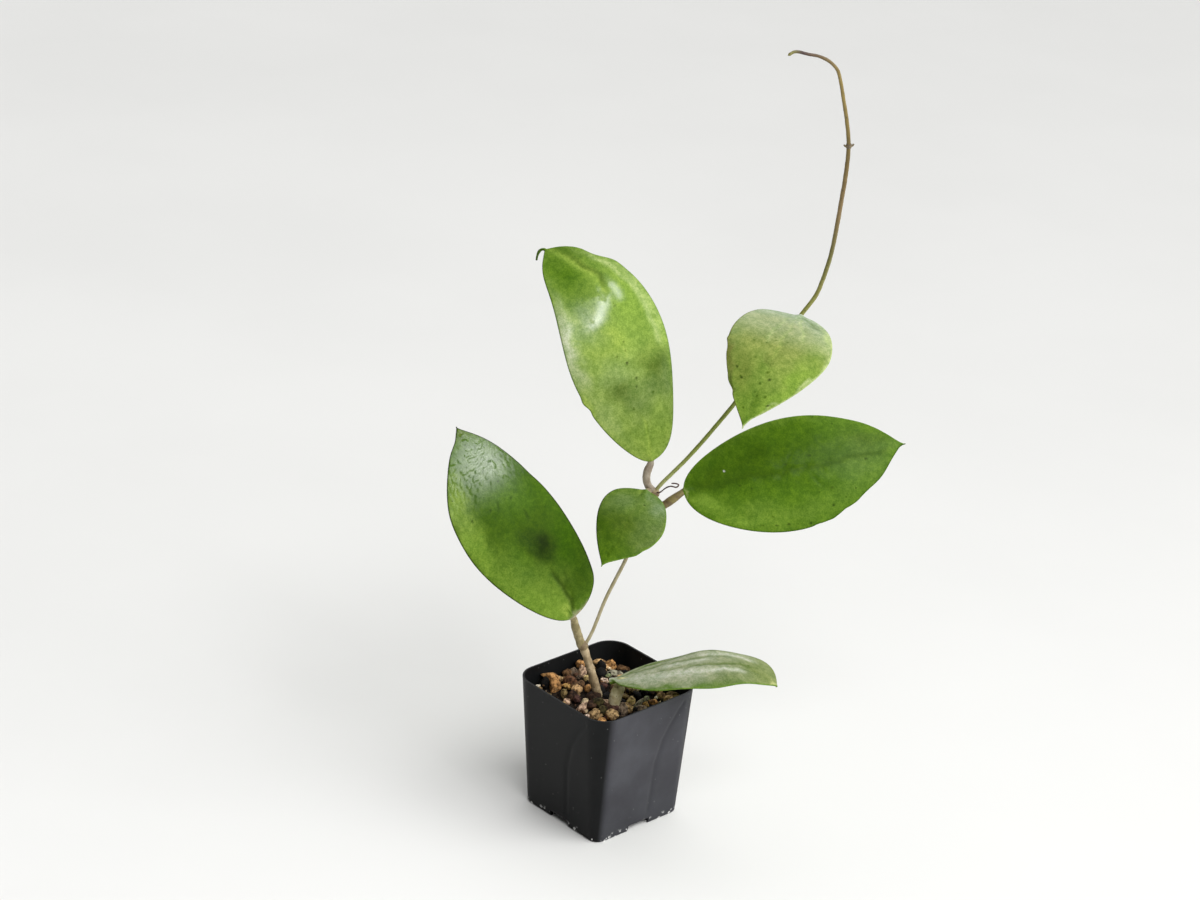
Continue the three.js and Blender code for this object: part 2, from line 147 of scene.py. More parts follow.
def mesh_from(name, points, *face_sets):
    """A mesh from whole arrays: its points, and its faces' corner numbers, one array a corner count."""
    mesh = bpy.data.meshes.new(name)
    corners = np.concatenate([f.ravel() for f in face_sets]).astype(np.int32)
    counts = np.concatenate([np.full(len(f), f.shape[1]) for f in face_sets])
    mesh.vertices.add(len(points))
    mesh.vertices.foreach_set("co", np.ascontiguousarray(points, np.float32).ravel())
    mesh.loops.add(len(corners))
    mesh.loops.foreach_set("vertex_index", corners)
    mesh.polygons.add(len(counts))
    mesh.polygons.foreach_set("loop_start", (np.cumsum(counts) - counts).astype(np.int32))
    mesh.update(calc_edges=True)
    mesh.validate()
    mesh.shade_smooth()
    return mesh


def add_colours(mesh, name, colours):
    """A colour at each point of the mesh, for its material to read."""
    layer = mesh.attributes.new(name, "FLOAT_COLOR", "POINT")
    full = np.ones((len(colours), 4), np.float32)
    full[:, : colours.shape[1]] = colours
    layer.data.foreach_set("color", full.ravel())


def placed(name, data):
    """An object for a mesh, a camera or a light, put into the scene."""
    made = bpy.data.objects.new(name, data)
    bpy.context.scene.collection.objects.link(made)
    return made


def make_piece(name, mesh, material, node):
    """An object for a finished mesh, which rides on the one body and stands for that CAD node."""
    piece = placed(name, mesh)
    mesh.materials.append(material)
    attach(piece, "root")
    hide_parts(node)
    return piece


def skin(rings):
    """The closed skin over rings of points: quads between neighbours, and a fan of triangles from the
    middle of the first ring and of the last. Rings run counter-clockwise as seen from the last one."""
    count, around = rings.shape[:2]
    points = np.concatenate([rings.reshape(-1, 3), rings[:1].mean(1), rings[-1:].mean(1)])
    i, j = np.meshgrid(np.arange(count - 1), np.arange(around), indexing="ij")
    a = i * around + j
    b = i * around + (j + 1) % around
    quads = np.stack([a, b, b + around, a + around], -1).reshape(-1, 4)
    j = np.arange(around)
    after = (j + 1) % around
    top = (count - 1) * around
    middle = np.full(around, count * around)
    caps = np.concatenate(
        [np.stack([middle, after, j], -1), np.stack([middle + 1, top + j, top + after], -1)]
    )
    return points, quads, caps


def skin_mesh(name, rings, to_part=from_pot):
    """A mesh of the closed skin over rings of points, taken to the part's frame."""
    points, quads, caps = skin(rings)
    return mesh_from(name, to_part(points), quads, caps)


def prism(name, outline, bottom, top):
    """An upright solid in the pot's frame: an outline carried from one height to another."""
    rings = [np.column_stack([outline, np.full(len(outline), z)]) for z in (bottom, top)]
    return placed(name, skin_mesh(name, np.stack(rings)))


def waves(points, length, seed, layers=3):
    """Smooth uneven numbers of about -1 to 1 over space: layers of nine sine waves each, in seeded
    directions, of about the wavelength asked, each layer half as long and half as strong as the last."""
    draw = np.random.default_rng(seed)
    total = np.zeros(points.shape[:-1])
    for layer in range(layers):
        way = unit(draw.normal(size=(9, 3))) * draw.uniform(0.7, 1.4, (9, 1))
        phase = draw.uniform(0, 2 * math.pi, 9)
        turn = points @ way.T * (2 * math.pi / length * 2**layer) + phase
        total += np.sin(turn).sum(-1) / (3 * 2**layer)
    return total / 1.5


# ---------------------------------------------------------------- finishes


class Finish:
    """A material or a node group being built: adds nodes, joins sockets and sets values by name. Its
    patterns lie on its place: in a material the Object coordinates, which on these pieces are metres in
    the part's frame, and in a group what that is given."""

    def __init__(self, name, tree=None):
        self.tree = tree
        if tree is None:
            self.material = bpy.data.materials.new(name)
            self.material.use_nodes = True
            self.tree = self.material.node_tree
            self.tree.nodes.clear()
            self.shader = self.node("BsdfPrincipled")
            self.node("OutputMaterial", {"Surface": self.shader.outputs["BSDF"]})
            self.place = self.node("TexCoord").outputs["Object"]

    def node(self, kind, values=None, **settings):
        """A node of that kind, with its settings, and its inputs set to values or joined to sockets."""
        made = self.tree.nodes.new("ShaderNode" + kind)
        for key, value in settings.items():
            setattr(made, key, value)
        for key, value in (values or {}).items():
            self.give(made.inputs[key], value)
        return made

    def give(self, socket, value):
        """Joins a socket to an output, or sets it to a plain value."""
        if isinstance(value, bpy.types.NodeSocket):
            self.tree.links.new(value, socket)
        elif isinstance(value, (tuple, np.ndarray)) and socket.type == "RGBA":
            socket.default_value = (*value, 1.0)
        else:
            socket.default_value = value

    def shade(self, **values):
        """Values or sockets for the shader's own inputs, with _ for a space in a name."""
        for key, value in values.items():
            self.give(self.shader.inputs[key.replace("_", " ")], value)

    def attribute(self, name):
        """The colours stored under that name on the mesh's points."""
        return self.node("Attribute", attribute_name=name, attribute_type="GEOMETRY").outputs["Color"]

    def math(self, operation, a, b):
        """One sum of two numbers or sockets."""
        return self.node("Math", {0: a, 1: b}, operation=operation).outputs["Value"]

    def dot(self, a, b):
        """The dot product of two vectors or sockets."""
        return self.node("VectorMath", {0: a, 1: b}, operation="DOT_PRODUCT").outputs["Value"]

    def noise(self, scale, detail):
        """A smooth noise of 0 to 1 over the place."""
        made = self.node("TexNoise", {"Vector": self.place, "Scale": scale, "Detail": detail})
        return made.outputs["Fac"]

    def ranged(self, value, start, end, low=0.0, high=1.0, way="LINEAR"):
        """A value stretched so that start becomes low and end becomes high, and held at those."""
        limits = {"From Min": start, "From Max": end, "To Min": low, "To Max": high}
        made = self.node("MapRange", {"Value": value, **limits}, interpolation_type=way)
        return made.outputs["Result"]

    def mixed(self, share, a, b, way="MIX"):
        """Colours a and b mixed by a share."""
        made = self.node("Mix", {"Factor": share, 6: a, 7: b}, data_type="RGBA", blend_type=way)
        return made.outputs[2]

    def times(self, a, b):
        """Colours a and b multiplied."""
        return self.mixed(1.0, a, b, "MULTIPLY")

    def group(self, tree, **values):
        """A node group placed with its own values, with _ for a space in a name."""
        made = self.node("Group", node_tree=tree)
        for key, value in values.items():
            self.give(made.inputs[key.replace("_", " ")], value)
        return made.outputs

    def cloud(self, scale, low, high):
        """The mask of the group of cloudy patches."""
        return self.group(MOTTLE, Place=self.place, Scale=scale, Low=low, High=high)["Mask"]

    def specks(self, scale, size, share, strength):
        """The mask of the group of specks, at some strength."""
        mask = self.group(SPECKS, Place=self.place, Scale=scale, Size=size, Share=share)["Mask"]
        return self.math("MULTIPLY", mask, strength)

    def relief(self, coarse, fine, depth):
        """The normal of the group that makes a fine uneven skin."""
        return self.group(RELIEF, Place=self.place, Coarse=coarse, Fine=fine, Depth=depth)["Normal"]


def new_group(name, numbers, result, kind="Float"):
    """An empty node group that takes a place and some named numbers and puts out one result. Gives the
    group, its numbers and the socket for its result."""
    tree = bpy.data.node_groups.new(name, "ShaderNodeTree")
    tree.interface.new_socket("Place", in_out="INPUT", socket_type="NodeSocketVector")
    for number in numbers:
        tree.interface.new_socket(number, in_out="INPUT", socket_type="NodeSocketFloat")
    tree.interface.new_socket(result, in_out="OUTPUT", socket_type="NodeSocket" + kind)
    take = tree.nodes.new("NodeGroupInput").outputs
    put = tree.nodes.new("NodeGroupOutput").inputs
    group = Finish(name, tree)
    group.place = take["Place"]
    return group, take, put[result]


def mottle_group():
    """Cloudy patches: a noise stretched between two edges to a mask of 0 to 1."""
    g, take, put = new_group("mottle", ("Scale", "Low", "High"), "Mask")
    noise = g.noise(take["Scale"], 4.0)
    g.give(put, g.ranged(noise, take["Low"], take["High"], way="SMOOTHSTEP"))
    return g.tree


def speck_group():
    """Scattered specks: in a share of the cells of a random pattern, a spot about the cell's point,
    uneven in size and ragged by a noise."""
    g, take, put = new_group("specks", ("Scale", "Size", "Share"), "Mask")
    wobble = g.math("ADD", g.noise(900.0, 2.0), 0.5)
    cell = g.node("TexVoronoi", {"Vector": g.place, "Scale": take["Scale"]})
    channel = g.node("SeparateColor", {"Color": cell.outputs["Color"]})
    chosen = g.math("LESS_THAN", channel.outputs["Red"], take["Share"])
    uneven = g.math("MULTIPLY", channel.outputs["Green"], take["Size"])
    inside = g.math("SUBTRACT", g.math("MULTIPLY", uneven, wobble), cell.outputs["Distance"])
    g.give(put, g.math("MULTIPLY", chosen, g.ranged(inside, 0.0, 0.06, way="SMOOTHSTEP")))
    return g.tree


def fine_relief_group():
    """A fine uneven skin: two noises, one finer than the other, through a bump, as a normal."""
    g, take, put = new_group("fine relief", ("Coarse", "Fine", "Depth"), "Normal", "Vector")
    half = g.math("MULTIPLY", g.noise(take["Fine"], 2.0), 0.5)
    height = g.math("ADD", g.noise(take["Coarse"], 3.0), half)
    bump = g.node("Bump", {"Height": height, "Strength": take["Depth"], "Distance": 0.0004})
    g.give(put, bump.outputs["Normal"])
    return g.tree


MOTTLE = mottle_group()
SPECKS = speck_group()
RELIEF = fine_relief_group()

# The pot's side at +x is paler, as painted light from the right: how far out, taken down to the foot,
# that starts and is full.
PAINTED_LIGHT_SIDE = (29.7, 31.1)
# The wall is darker towards its foot: its share of the colour there, and the height where that ends.
FOOT_SHADE = 0.6
FOOT_SHADE_TALL = 45.0
# Chips along the foot thin out between these heights.
CHIPS_TALL = (1.0, 4.5)


def pot_plastic():
    """Dark slate plastic with a satin skin, dulled in clouds and lightly dusted. Its side at +x is
    paler, as painted light from the right, it is darker towards the foot, and pale chips dot the foot."""
    f = Finish("pot_plastic")
    dull = f.cloud(scale=45.0, low=0.35, high=0.7)
    lean = (POT_TOP - POT_FOOT) / 2 / POT_TALL
    side = f.dot(f.place, (1.0, 0.0, -lean))
    painted_light_share = f.ranged(side, *(POT_MIDDLE[0] + np.array(PAINTED_LIGHT_SIDE) * MM))
    # A shaded and a lit tone of the same plastic: the lit one is painted light on the side at +x.
    dark = f.mixed(dull, linear(18, 19, 20), linear(26, 27, 28))
    pale = f.mixed(dull, linear(62, 62, 67), linear(74, 75, 80))
    height = f.node("SeparateXYZ", {"Vector": f.place}).outputs["Z"]
    upper = f.ranged(height, 0.0, FOOT_SHADE_TALL * MM)
    foot = np.full(3, FOOT_SHADE)
    colour = f.times(f.mixed(painted_light_share, dark, pale), f.mixed(upper, foot, np.ones(3)))
    dust = f.specks(scale=700.0, size=0.3, share=0.05, strength=0.3)
    colour = f.mixed(dust, colour, linear(150, 150, 148))
    start, end = CHIPS_TALL
    low = f.ranged(height, start * MM, end * MM, 1.0, 0.0)
    chips = f.specks(scale=620.0, size=0.85, share=0.4, strength=low)
    colour = f.mixed(chips, colour, linear(214, 214, 212))
    relief = f.relief(coarse=1800.0, fine=5200.0, depth=0.12)
    rough = f.ranged(dull, 0.0, 1.0, 0.42, 0.52)
    f.shade(Base_Color=colour, Roughness=rough, Normal=relief, Specular_IOR_Level=0.13)
    return f.material


def mix_finish(name, depth, roughness):
    """Grains in the colours stored on their points, clouded and pitted, with a gritty skin."""
    f = Finish(name)
    cloud = f.cloud(scale=520.0, low=0.36, high=0.62)
    colour = f.times(f.attribute("tint"), f.mixed(cloud, (0.34, 0.3, 0.26), (1.45, 1.4, 1.28)))
    pits = f.specks(scale=1300.0, size=0.6, share=0.3, strength=0.6)
    colour = f.mixed(pits, colour, linear(40, 30, 24))
    relief = f.relief(coarse=900.0, fine=2600.0, depth=depth)
    f.shade(Base_Color=colour, Normal=relief, Roughness=roughness, Specular_IOR_Level=0.2)
    return f.material


def stem_finish(name, base, streak, depth, roughness):
    """Bark or stalk skin: two tones in clouds, times the colours stored on its points, with dark specks
    and a fine relief."""
    f = Finish(name)
    tone = f.mixed(f.cloud(scale=260.0, low=0.38, high=0.62), base, streak)
    dots = f.specks(scale=900.0, size=0.5, share=0.25, strength=0.5)
    colour = f.mixed(dots, f.times(tone, f.attribute("tint")), linear(62, 46, 34))
    relief = f.relief(coarse=700.0, fine=2400.0, depth=depth)
    f.shade(Base_Color=colour, Normal=relief, Roughness=roughness)
    return f.material


def leaf_finish(name, speck, dull, glossy, share):
    """A waxy blade: the colours stored on its points, clouded in three sizes and specked, dull or glossy
    as its points say, with a thin coat where it is glossy."""
    f = Finish(name)
    gloss = f.node("SeparateColor", {"Color": f.attribute("gloss")}).outputs["Red"]
    colour = f.attribute("tint")
    clouds = (
        (130.0, (0.77, 0.77, 0.84), (0.97, 0.91, 1.06)),
        (420.0, (0.83, 0.88, 0.79), (1.12, 1.09, 1.14)),
        (1300.0, (0.82, 0.87, 0.78), (1.16, 1.11, 1.18)),
    )
    for scale, dark, pale in clouds:
        colour = f.times(colour, f.mixed(f.cloud(scale, low=0.34, high=0.66), dark, pale))
    dots = f.specks(scale=330.0, size=0.22, share=share, strength=0.6)
    relief = f.relief(coarse=420.0, fine=1500.0, depth=0.12)
    rough = f.ranged(gloss, 0.0, 1.0, dull, glossy)
    f.shade(Base_Color=f.mixed(dots, colour, speck), Normal=relief, Roughness=rough)
    f.shade(Coat_Weight=gloss, Coat_Roughness=0.13, Coat_IOR=1.8, Specular_IOR_Level=0.06)
    return f.material


# ---------------------------------------------------------------- pot

# The grid of the pot's skin: points along a side and round a corner, rows up the wall and its foot.
SIDE_CELLS = 84
CORNER_CELLS = 12
WALL_ROWS = 72
FOOT_ROWS = 5
# A soft crease moulded into each side: how far off its middle it runs at each height.
CREASE_HEIGHTS = (0, 40, 55, 63, 72, 80)
CREASE_ASIDE = (5.8, 7.5, 11.5, 16, 22, 30)
CREASE_WIDE = 1.9
CREASE_DEEP = 0.38
DRAIN_SIDES = 32
EDGE_BEVEL = 0.35
SHARP = math.radians(40)


def pot_outline(height, inset, crease=0.0):
    """The pot's outline at each height, drawn in by inset: a square with rounded corners whose half
    width and corner radius both grow evenly from foot to rim. Each side is split evenly, each corner
    by angle, and each side has a crease of that depth, as a bell curve of the distance from its
    path."""
    height = np.asarray(height, float)
    share = height / POT_TALL
    half = blend(POT_FOOT, POT_TOP, share) / 2 - inset
    radius = blend(CORNER_FOOT, CORNER_TOP, share) - inset
    flat = (half - radius)[:, None]
    angle = np.linspace(0, math.pi / 2, CORNER_CELLS + 1)
    bend_x = flat + radius[:, None] * np.cos(angle)
    bend_y = flat + radius[:, None] * np.sin(angle)
    side_x = flat * np.linspace(1, -1, SIDE_CELLS + 1)[1:-1]
    path = np.interp(height, CREASE_HEIGHTS, CREASE_ASIDE)[:, None]
    depth = crease * eased(CHANNEL_TALL, 3 * CHANNEL_TALL, height)[:, None]
    side_y = half[:, None] - depth * bell((side_x + path) / CREASE_WIDE)
    x = np.concatenate([bend_x, side_x], 1)
    y = np.concatenate([bend_y, side_y], 1)
    quarter = np.stack([x, y, np.broadcast_to(height[:, None], x.shape)], -1)
    return np.concatenate([turned(quarter, k * math.pi / 2) for k in range(4)], 1)


def pot_piece(material):
    """The pot: its rounded outer skin, less the room inside, the cross-shaped channel under its floor
    and five drains, all cut from closed shapes. A small bevel breaks every sharp edge."""
    bend = np.linspace(0, math.pi / 2, FOOT_ROWS + 1)
    wall = np.linspace(FOOT_ROUND, POT_TALL, WALL_ROWS + 1)[1:]
    heights = np.concatenate([FOOT_ROUND * (1 - np.cos(bend)), wall])
    insets = np.concatenate([FOOT_ROUND * (1 - np.sin(bend)), np.zeros(WALL_ROWS)])
    outside = skin_mesh("pot", pot_outline(heights, insets, CREASE_DEEP))
    pot = make_piece("pot", outside, material, "pot")
    roof = CHANNEL_TALL + WALL
    inside = pot_outline((WALL, POT_TALL + WALL), np.full(2, WALL))
    room = placed("room", skin_mesh("room", inside))
    boolean(room, channel_bars(CHANNEL_WIDTH + 2 * WALL, roof), "DIFFERENCE")
    boolean(pot, room, "DIFFERENCE")
    boolean(pot, channel_bars(CHANNEL_WIDTH, CHANNEL_TALL), "DIFFERENCE")
    for place in DRAIN_PLACES:
        hole = circle(DRAIN_SIDES, DRAIN_RADIUS) + np.array(place) * DRAIN_REACH
        boolean(pot, prism("drain", hole, -WALL, roof + WALL), "DIFFERENCE")
    pot.data.shade_smooth()
    pot.data.set_sharp_from_angle(angle=SHARP)
    bevel = pot.modifiers.new("edges", "BEVEL")
    bevel.width = EDGE_BEVEL * MM
    bevel.segments = 2
    bevel.limit_method = "ANGLE"
    bevel.angle_limit = SHARP
    return pot


def channel_bars(width, top):
    """Two bars that cross under the pot's middle, from below the foot up to a height, made one."""
    corners = np.array([[1, 1], [-1, 1], [-1, -1], [1, -1]])
    bar = prism("bar", corners * (POT_TOP, width / 2), -WALL, top)
    other = prism("bar", corners * (width / 2, POT_TOP), -WALL, top)
    boolean(bar, other, "UNION")
    return bar


def boolean(target, other, operation):
    """Joins or cuts two closed shapes, applies the result to the first and removes the second."""
    step = target.modifiers.new(operation, "BOOLEAN")
    step.object = other
    step.operation = operation
    step.solver = "EXACT"
    with bpy.context.temp_override(object=target, active_object=target):
        bpy.ops.object.modifier_apply(modifier=step.name)
    bpy.data.objects.remove(other)


# ---------------------------------------------------------------- lines of sight


def camera_axes():
    """The camera's right, up and forward in the plant's frame, before its roll."""
    right = np.array([1.0, 0.0, 0.0])
    forward = np.array([0.0, math.cos(CAMERA_DOWN), -math.sin(CAMERA_DOWN)])
    return right, np.cross(right, forward), forward


def sight(pixels):
    """The lines of sight through pixels of the photograph, in the plant's frame: the camera's place,
    and for each pixel a direction that moves one millimetre forward for each millimetre of depth."""
    right, up, forward = camera_axes()
    eye = CAMERA_TARGET - CAMERA_DISTANCE * forward
    focal = LENS / SENSOR * PHOTO_WIDTH
    away = np.asarray(pixels, float) - (PHOTO_WIDTH / 2, PHOTO_HEIGHT / 2)
    c, s = math.cos(CAMERA_ROLL), math.sin(CAMERA_ROLL)
    u = (c * away[:, 0] + s * away[:, 1]) / focal
    v = (c * away[:, 1] - s * away[:, 0]) / focal
    return eye, forward + u[:, None] * right - v[:, None] * up


# ---------------------------------------------------------------- potting mix

# Tones of the grains.
TONES = palette({
    "orange": (190, 144, 94), "pale orange": (216, 178, 132), "golden": (198, 160, 100),
    "tan": (178, 150, 110), "olive tan": (134, 116, 78), "brown": (116, 88, 62), "red brown": (108, 76, 56),
    "dark brown": (70, 50, 38), "purple brown": (84, 58, 54), "grey brown": (128, 112, 98),
    "pink beige": (206, 176, 154), "pink white": (224, 202, 188), "beige": (206, 188, 158),
    "pale yellow": (206, 184, 132), "bone": (232, 224, 208), "charcoal": (15, 14, 14),
    "grey flake": (158, 156, 140), "green flake": (136, 148, 112), "moss": (66, 60, 34),
})

# Grains that can be told apart in the photograph: the pixel at the middle of each, its width and
# height in pixels, how far its long side leans in degrees, and its tone.
SEEN_GRAINS = (
    (551, 677, 14, 8, 20, "orange"), (545, 683, 9, 11, 0, "charcoal"), (555, 686, 10, 13, 0, "orange"),
    (560, 679, 6, 5, 0, "tan"), (538, 686, 4, 3, 0, "bone"), (567, 673, 8, 8, 0, "brown"),
    (573, 673, 8, 8, 0, "grey brown"), (570, 681, 12, 9, 0, "red brown"),
    (582, 672, 8, 12, 0, "pink beige"), (580, 664, 8, 7, 0, "orange"), (587, 679, 6, 6, 0, "pale yellow"),
    (588, 688, 6, 7, 0, "orange"), (577, 690, 9, 8, 0, "pale orange"), (567, 686, 9, 5, 10, "golden"),
    (564, 694, 5, 9, 0, "olive tan"), (572, 696, 8, 10, 0, "dark brown"),
    (577, 699, 7, 6, 0, "purple brown"), (567, 701, 6, 5, 0, "pink beige"),
    (582, 709, 13, 7, -38, "pink beige"), (585, 702, 7, 6, 0, "beige"), (588, 716, 6, 4, 0, "pink white"),
    (596, 714, 13, 9, 0, "tan"), (608, 717, 6, 6, 0, "purple brown"), (621, 710, 12, 11, 0, "grey brown"),
    (604, 681, 7, 5, 0, "pink white"), (604, 686, 7, 6, 0, "purple brown"),
    (601, 669, 8, 15, 0, "charcoal"), (599, 662, 11, 6, 0, "pale orange"),
    (604, 667, 7, 5, 0, "pale orange"), (611, 665, 10, 9, 0, "orange"), (623, 669, 11, 7, 0, "brown"),
    (615, 674, 16, 6, -8, "grey flake"), (608, 676, 5, 4, 0, "green flake"), (636, 689, 10, 6, 0, "beige"),
    (645, 692, 8, 8, 0, "charcoal"), (654, 691, 10, 5, 0, "brown"), (659, 692, 6, 5, 0, "tan"),
    (672, 695, 11, 6, 0, "olive tan"), (631, 701, 7, 8, 0, "pale yellow"),
    (640, 703, 18, 4, -40, "grey flake"), (646, 699, 5, 5, 0, "green flake"), (645, 705, 7, 7, 0, "golden"),
    (656, 698, 3, 3, 0, "bone"), (653, 702, 8, 5, 0, "orange"),
)
# The same, for those that are heaped about the feet of the two stems.
FOOT_GRAINS = (
    (599, 703, 13, 8, 0, "moss"), (592, 705, 9, 8, 0, "dark brown"), (603, 710, 8, 7, 0, "moss"),
    (607, 707, 8, 7, 0, "dark brown"), (614, 708, 9, 6, 0, "purple brown"), (612, 715, 12, 8, 0, "tan"),
)
# Tones to draw from, for the lattice of coarse grains and for the crumbs.
RANDOM_TONES = (
    "orange", "tan", "brown", "charcoal", "pink beige", "beige", "charcoal", "dark brown",
    "pale orange", "grey brown", "golden", "charcoal", "tan", "dark brown", "olive tan",
)
CRUMB_TONES = (
    "brown", "dark brown", "charcoal", "tan", "dark brown", "moss", "grey brown", "charcoal",
    "charcoal", "purple brown", "beige", "dark brown",
)

# The seeded stream that places the lattice of coarse grains, as the solid mix has it.
STREAM_FACTOR = 16807
STREAM_LIMIT = 2147483647
GRAIN_DRAWS = 12  # a stock grain first draws this many numbers for its dents
PLACE_DRAWS = 10  # and then this many for its size, axes and place
GRAIN_PITCH = 7.6
GRAIN_SMALL = 2.8
GRAIN_LARGE = 4.4
GRAIN_SKEW = 1.5
GRAIN_STRETCH = ((0.95, 1.4), (0.8, 1.1), (0.65, 0.95))
GRAIN_TILT = 0.7
GRAIN_JITTER = 1.7
GRAIN_LIFT = 0.5
GRAIN_SUNK = 0.25
# How a crushed stone is cut from a ball: by how many planes, how far off them, and how far off the ball
# itself counts, then how sharp its corners stay, and how deep it is dented.
GRAIN_CUTS = 12
GRAIN_NEAR = (0.72, 1.05)
GRAIN_BALL = 0.9
GRAIN_SHARP = 9
GRAIN_DENTS = 0.13
CRUMB_DENTS = 0.08
# Rows and points round of the ball that each is cut from.
SEEN_CELLS = (14, 22)
LATTICE_CELLS = (7, 12)
CRUMB_CELLS = (4, 8)
# The mix is heaped against the wall at -x: how much higher, and over which stretch towards it.
HEAP_TALL = 3.2
HEAP_SPAN = (18, 33)
# Grains of the lattice lie clear of one that the photograph shows by this much, centre to centre.
SEEN_CLEAR = 4.6
# A grain's edges go under its neighbours, so it is this much larger than it looks.
SEEN_GROWTH = 1.25
SEEN_BEYOND = 120  # the mix lies this much further from the camera than its target
# The seen grains' tones are darkened by this share, as painted shade.
SEEN_PAINTED_SHADE = 0.85
# How far above the mound the middles of the seen grains lie, and those of the grains at the stems.
SEEN_ABOVE = 0.6
FOOT_ABOVE = 3.2
# A seen grain comes forward along its line of sight by this step, so many times at most, until it is
# inside the wall by this share of its size.
SIGHT_STEP = 0.5
SIGHT_STEPS = 60
WALL_SHARE = 0.85
# Crumbs: how many, how far out, how deep inside the wall, their least size and what a draw adds to it.
CRUMBS = 230
CRUMB_REACH = 36
CRUMB_MARGIN = 2.2
CRUMB_SMALL = 0.6
CRUMB_SPAN = 1.1
CRUMB_SKEW = 2.2
# The bed of fines: how far it lies below the mound, how uneven it is, and the gap that it leaves.
BED_SUNK = 2.2
BED_UNEVEN = 0.7
BED_GAP = 0.1
BED_RINGS = 56


def mound(x, y):
    """Mean height of the mix at a place in the pot's frame: the crown in the middle, falling with the
    square of the way out to the edge, and eased up again towards the wall at -x."""
    reach = np.minimum(1, np.maximum(np.abs(x), np.abs(y)) / (POT_TOP / 2 - WALL))
    return blend(MIX_CROWN, MIX_EDGE, reach**2) + HEAP_TALL * eased(*HEAP_SPAN, -x)


def ball(rings, around):
    """Directions over a ball, pole to pole, with its quads and the triangles at its poles."""
    tilt = np.linspace(0, math.pi, rings + 1)[1:-1]
    spin = np.linspace(0, 2 * math.pi, around, endpoint=False)
    tilt, spin = np.meshgrid(tilt[::-1], spin, indexing="ij")
    ring = np.stack([np.sin(tilt) * np.cos(spin), np.sin(tilt) * np.sin(spin), np.cos(tilt)], -1)
    points, quads, caps = skin(ring)
    points[-2:] = ((0, 0, -1), (0, 0, 1))
    return points, quads, caps


def crushed(directions, count, seed, dents):
    """Crushed stones as points along the directions: each is a ball cut by seeded planes, with its
    corners softened by a power mean, and an uneven skin of waves."""
    draw = np.random.default_rng(seed)
    planes = unit(draw.normal(size=(count, GRAIN_CUTS, 3)))
    far = draw.uniform(*GRAIN_NEAR, (count, GRAIN_CUTS))
    facing = np.einsum("pd,cnd->cpn", directions, planes)
    hit = np.maximum(facing, 0) / far[:, None, :]
    total = (hit**GRAIN_SHARP).sum(-1) + GRAIN_BALL**GRAIN_SHARP
    radius = 1 / total ** (1 / GRAIN_SHARP)
    shift = draw.uniform(0, 50, (count, 1, 3))
    radius = radius * (1 + dents * waves(directions[None] + shift, 0.9, seed))
    return directions[None] * radius[..., None]


def grain_piece(name, material, cells, dents, places, axes, tints, seed):
    """One piece of many grains, given in the pot's frame: each is a crushed stone times its own three
    axes, moved to its place, with all its points in its own tint."""
    directions, quads, caps = ball(*cells)
    shapes = crushed(directions, len(places), seed, dents)
    points = np.einsum("gpd,gde->gpe", shapes, axes) + places[:, None, :]
    count, each = points.shape[:2]
    step = (np.arange(count) * each)[:, None, None]
    faces = [(corners[None] + step).reshape(-1, corners.shape[1]) for corners in (quads, caps)]
    mesh = mesh_from(name, from_pot(points.reshape(-1, 3)), *faces)
    add_colours(mesh, "tint", np.repeat(tints, each, 0))
    return make_piece(name, mesh, material, "potting_mix")


def seen_grains(material):
    """The grains that the photograph shows one by one. Each is a crushed stone as wide and as tall as
    its pixels say, on the line of sight through its middle, where that meets the mound, or as much
    nearer to the camera as keeps it inside the wall. Gives their places."""
    seen = SEEN_GRAINS + FOOT_GRAINS
    rows = np.array([row[:5] for row in seen], float)
    above = np.repeat((SEEN_ABOVE, FOOT_ABOVE), (len(SEEN_GRAINS), len(FOOT_GRAINS)))
    reach = CAMERA_DISTANCE + SEEN_BEYOND
    size = rows[:, 2:4] * SEEN_GROWTH * reach / (LENS / SENSOR * PHOTO_WIDTH) / 2
    eye, ways = sight(rows[:, :2])
    depth = (MIX_CROWN - eye[2]) / ways[:, 2]
    for _ in range(4):
        spots = turned(eye + ways * depth[:, None], PLANT_TURN)
        depth = (mound(spots[:, 0], spots[:, 1]) + above - eye[2]) / ways[:, 2]
    tries = depth[:, None] - SIGHT_STEP * np.arange(SIGHT_STEPS)
    tried = turned(eye + ways[:, None] * tries[..., None], PLANT_TURN)
    inside = inside_pot(tried[..., 0], tried[..., 1], WALL_SHARE * size.max(1)[:, None])
    spots = tried[np.arange(len(rows)), inside.argmax(1)]
    right, up, forward = (turned(axis, PLANT_TURN) for axis in camera_axes())
    lean = np.radians(rows[:, 4])[:, None]
    long = right * np.cos(lean) - up * np.sin(lean)
    tall = up * np.cos(lean) + right * np.sin(lean)
    deep = size.min(1) * 0.35 + size.max(1) * 0.5
    axes = np.stack([long * size[:, :1], tall * size[:, 1:], -forward * deep[:, None]], 1)
    # Their tones are darkened here as painted shade.
    tints = np.array([TONES[row[5]] for row in seen]) * SEEN_PAINTED_SHADE
    grain_piece("seen_grains", material, SEEN_CELLS, GRAIN_DENTS, spots, axes, tints, SEED)
    return spots


def number_stream(seed, count):
    """Seeded numbers of 0 to 1: each state is the last times a factor, less whole times a limit."""
    state = seed
    drawn = []
    for _ in range(count):
        state = state * STREAM_FACTOR % STREAM_LIMIT
        drawn.append(state / STREAM_LIMIT)
    return np.array(drawn)


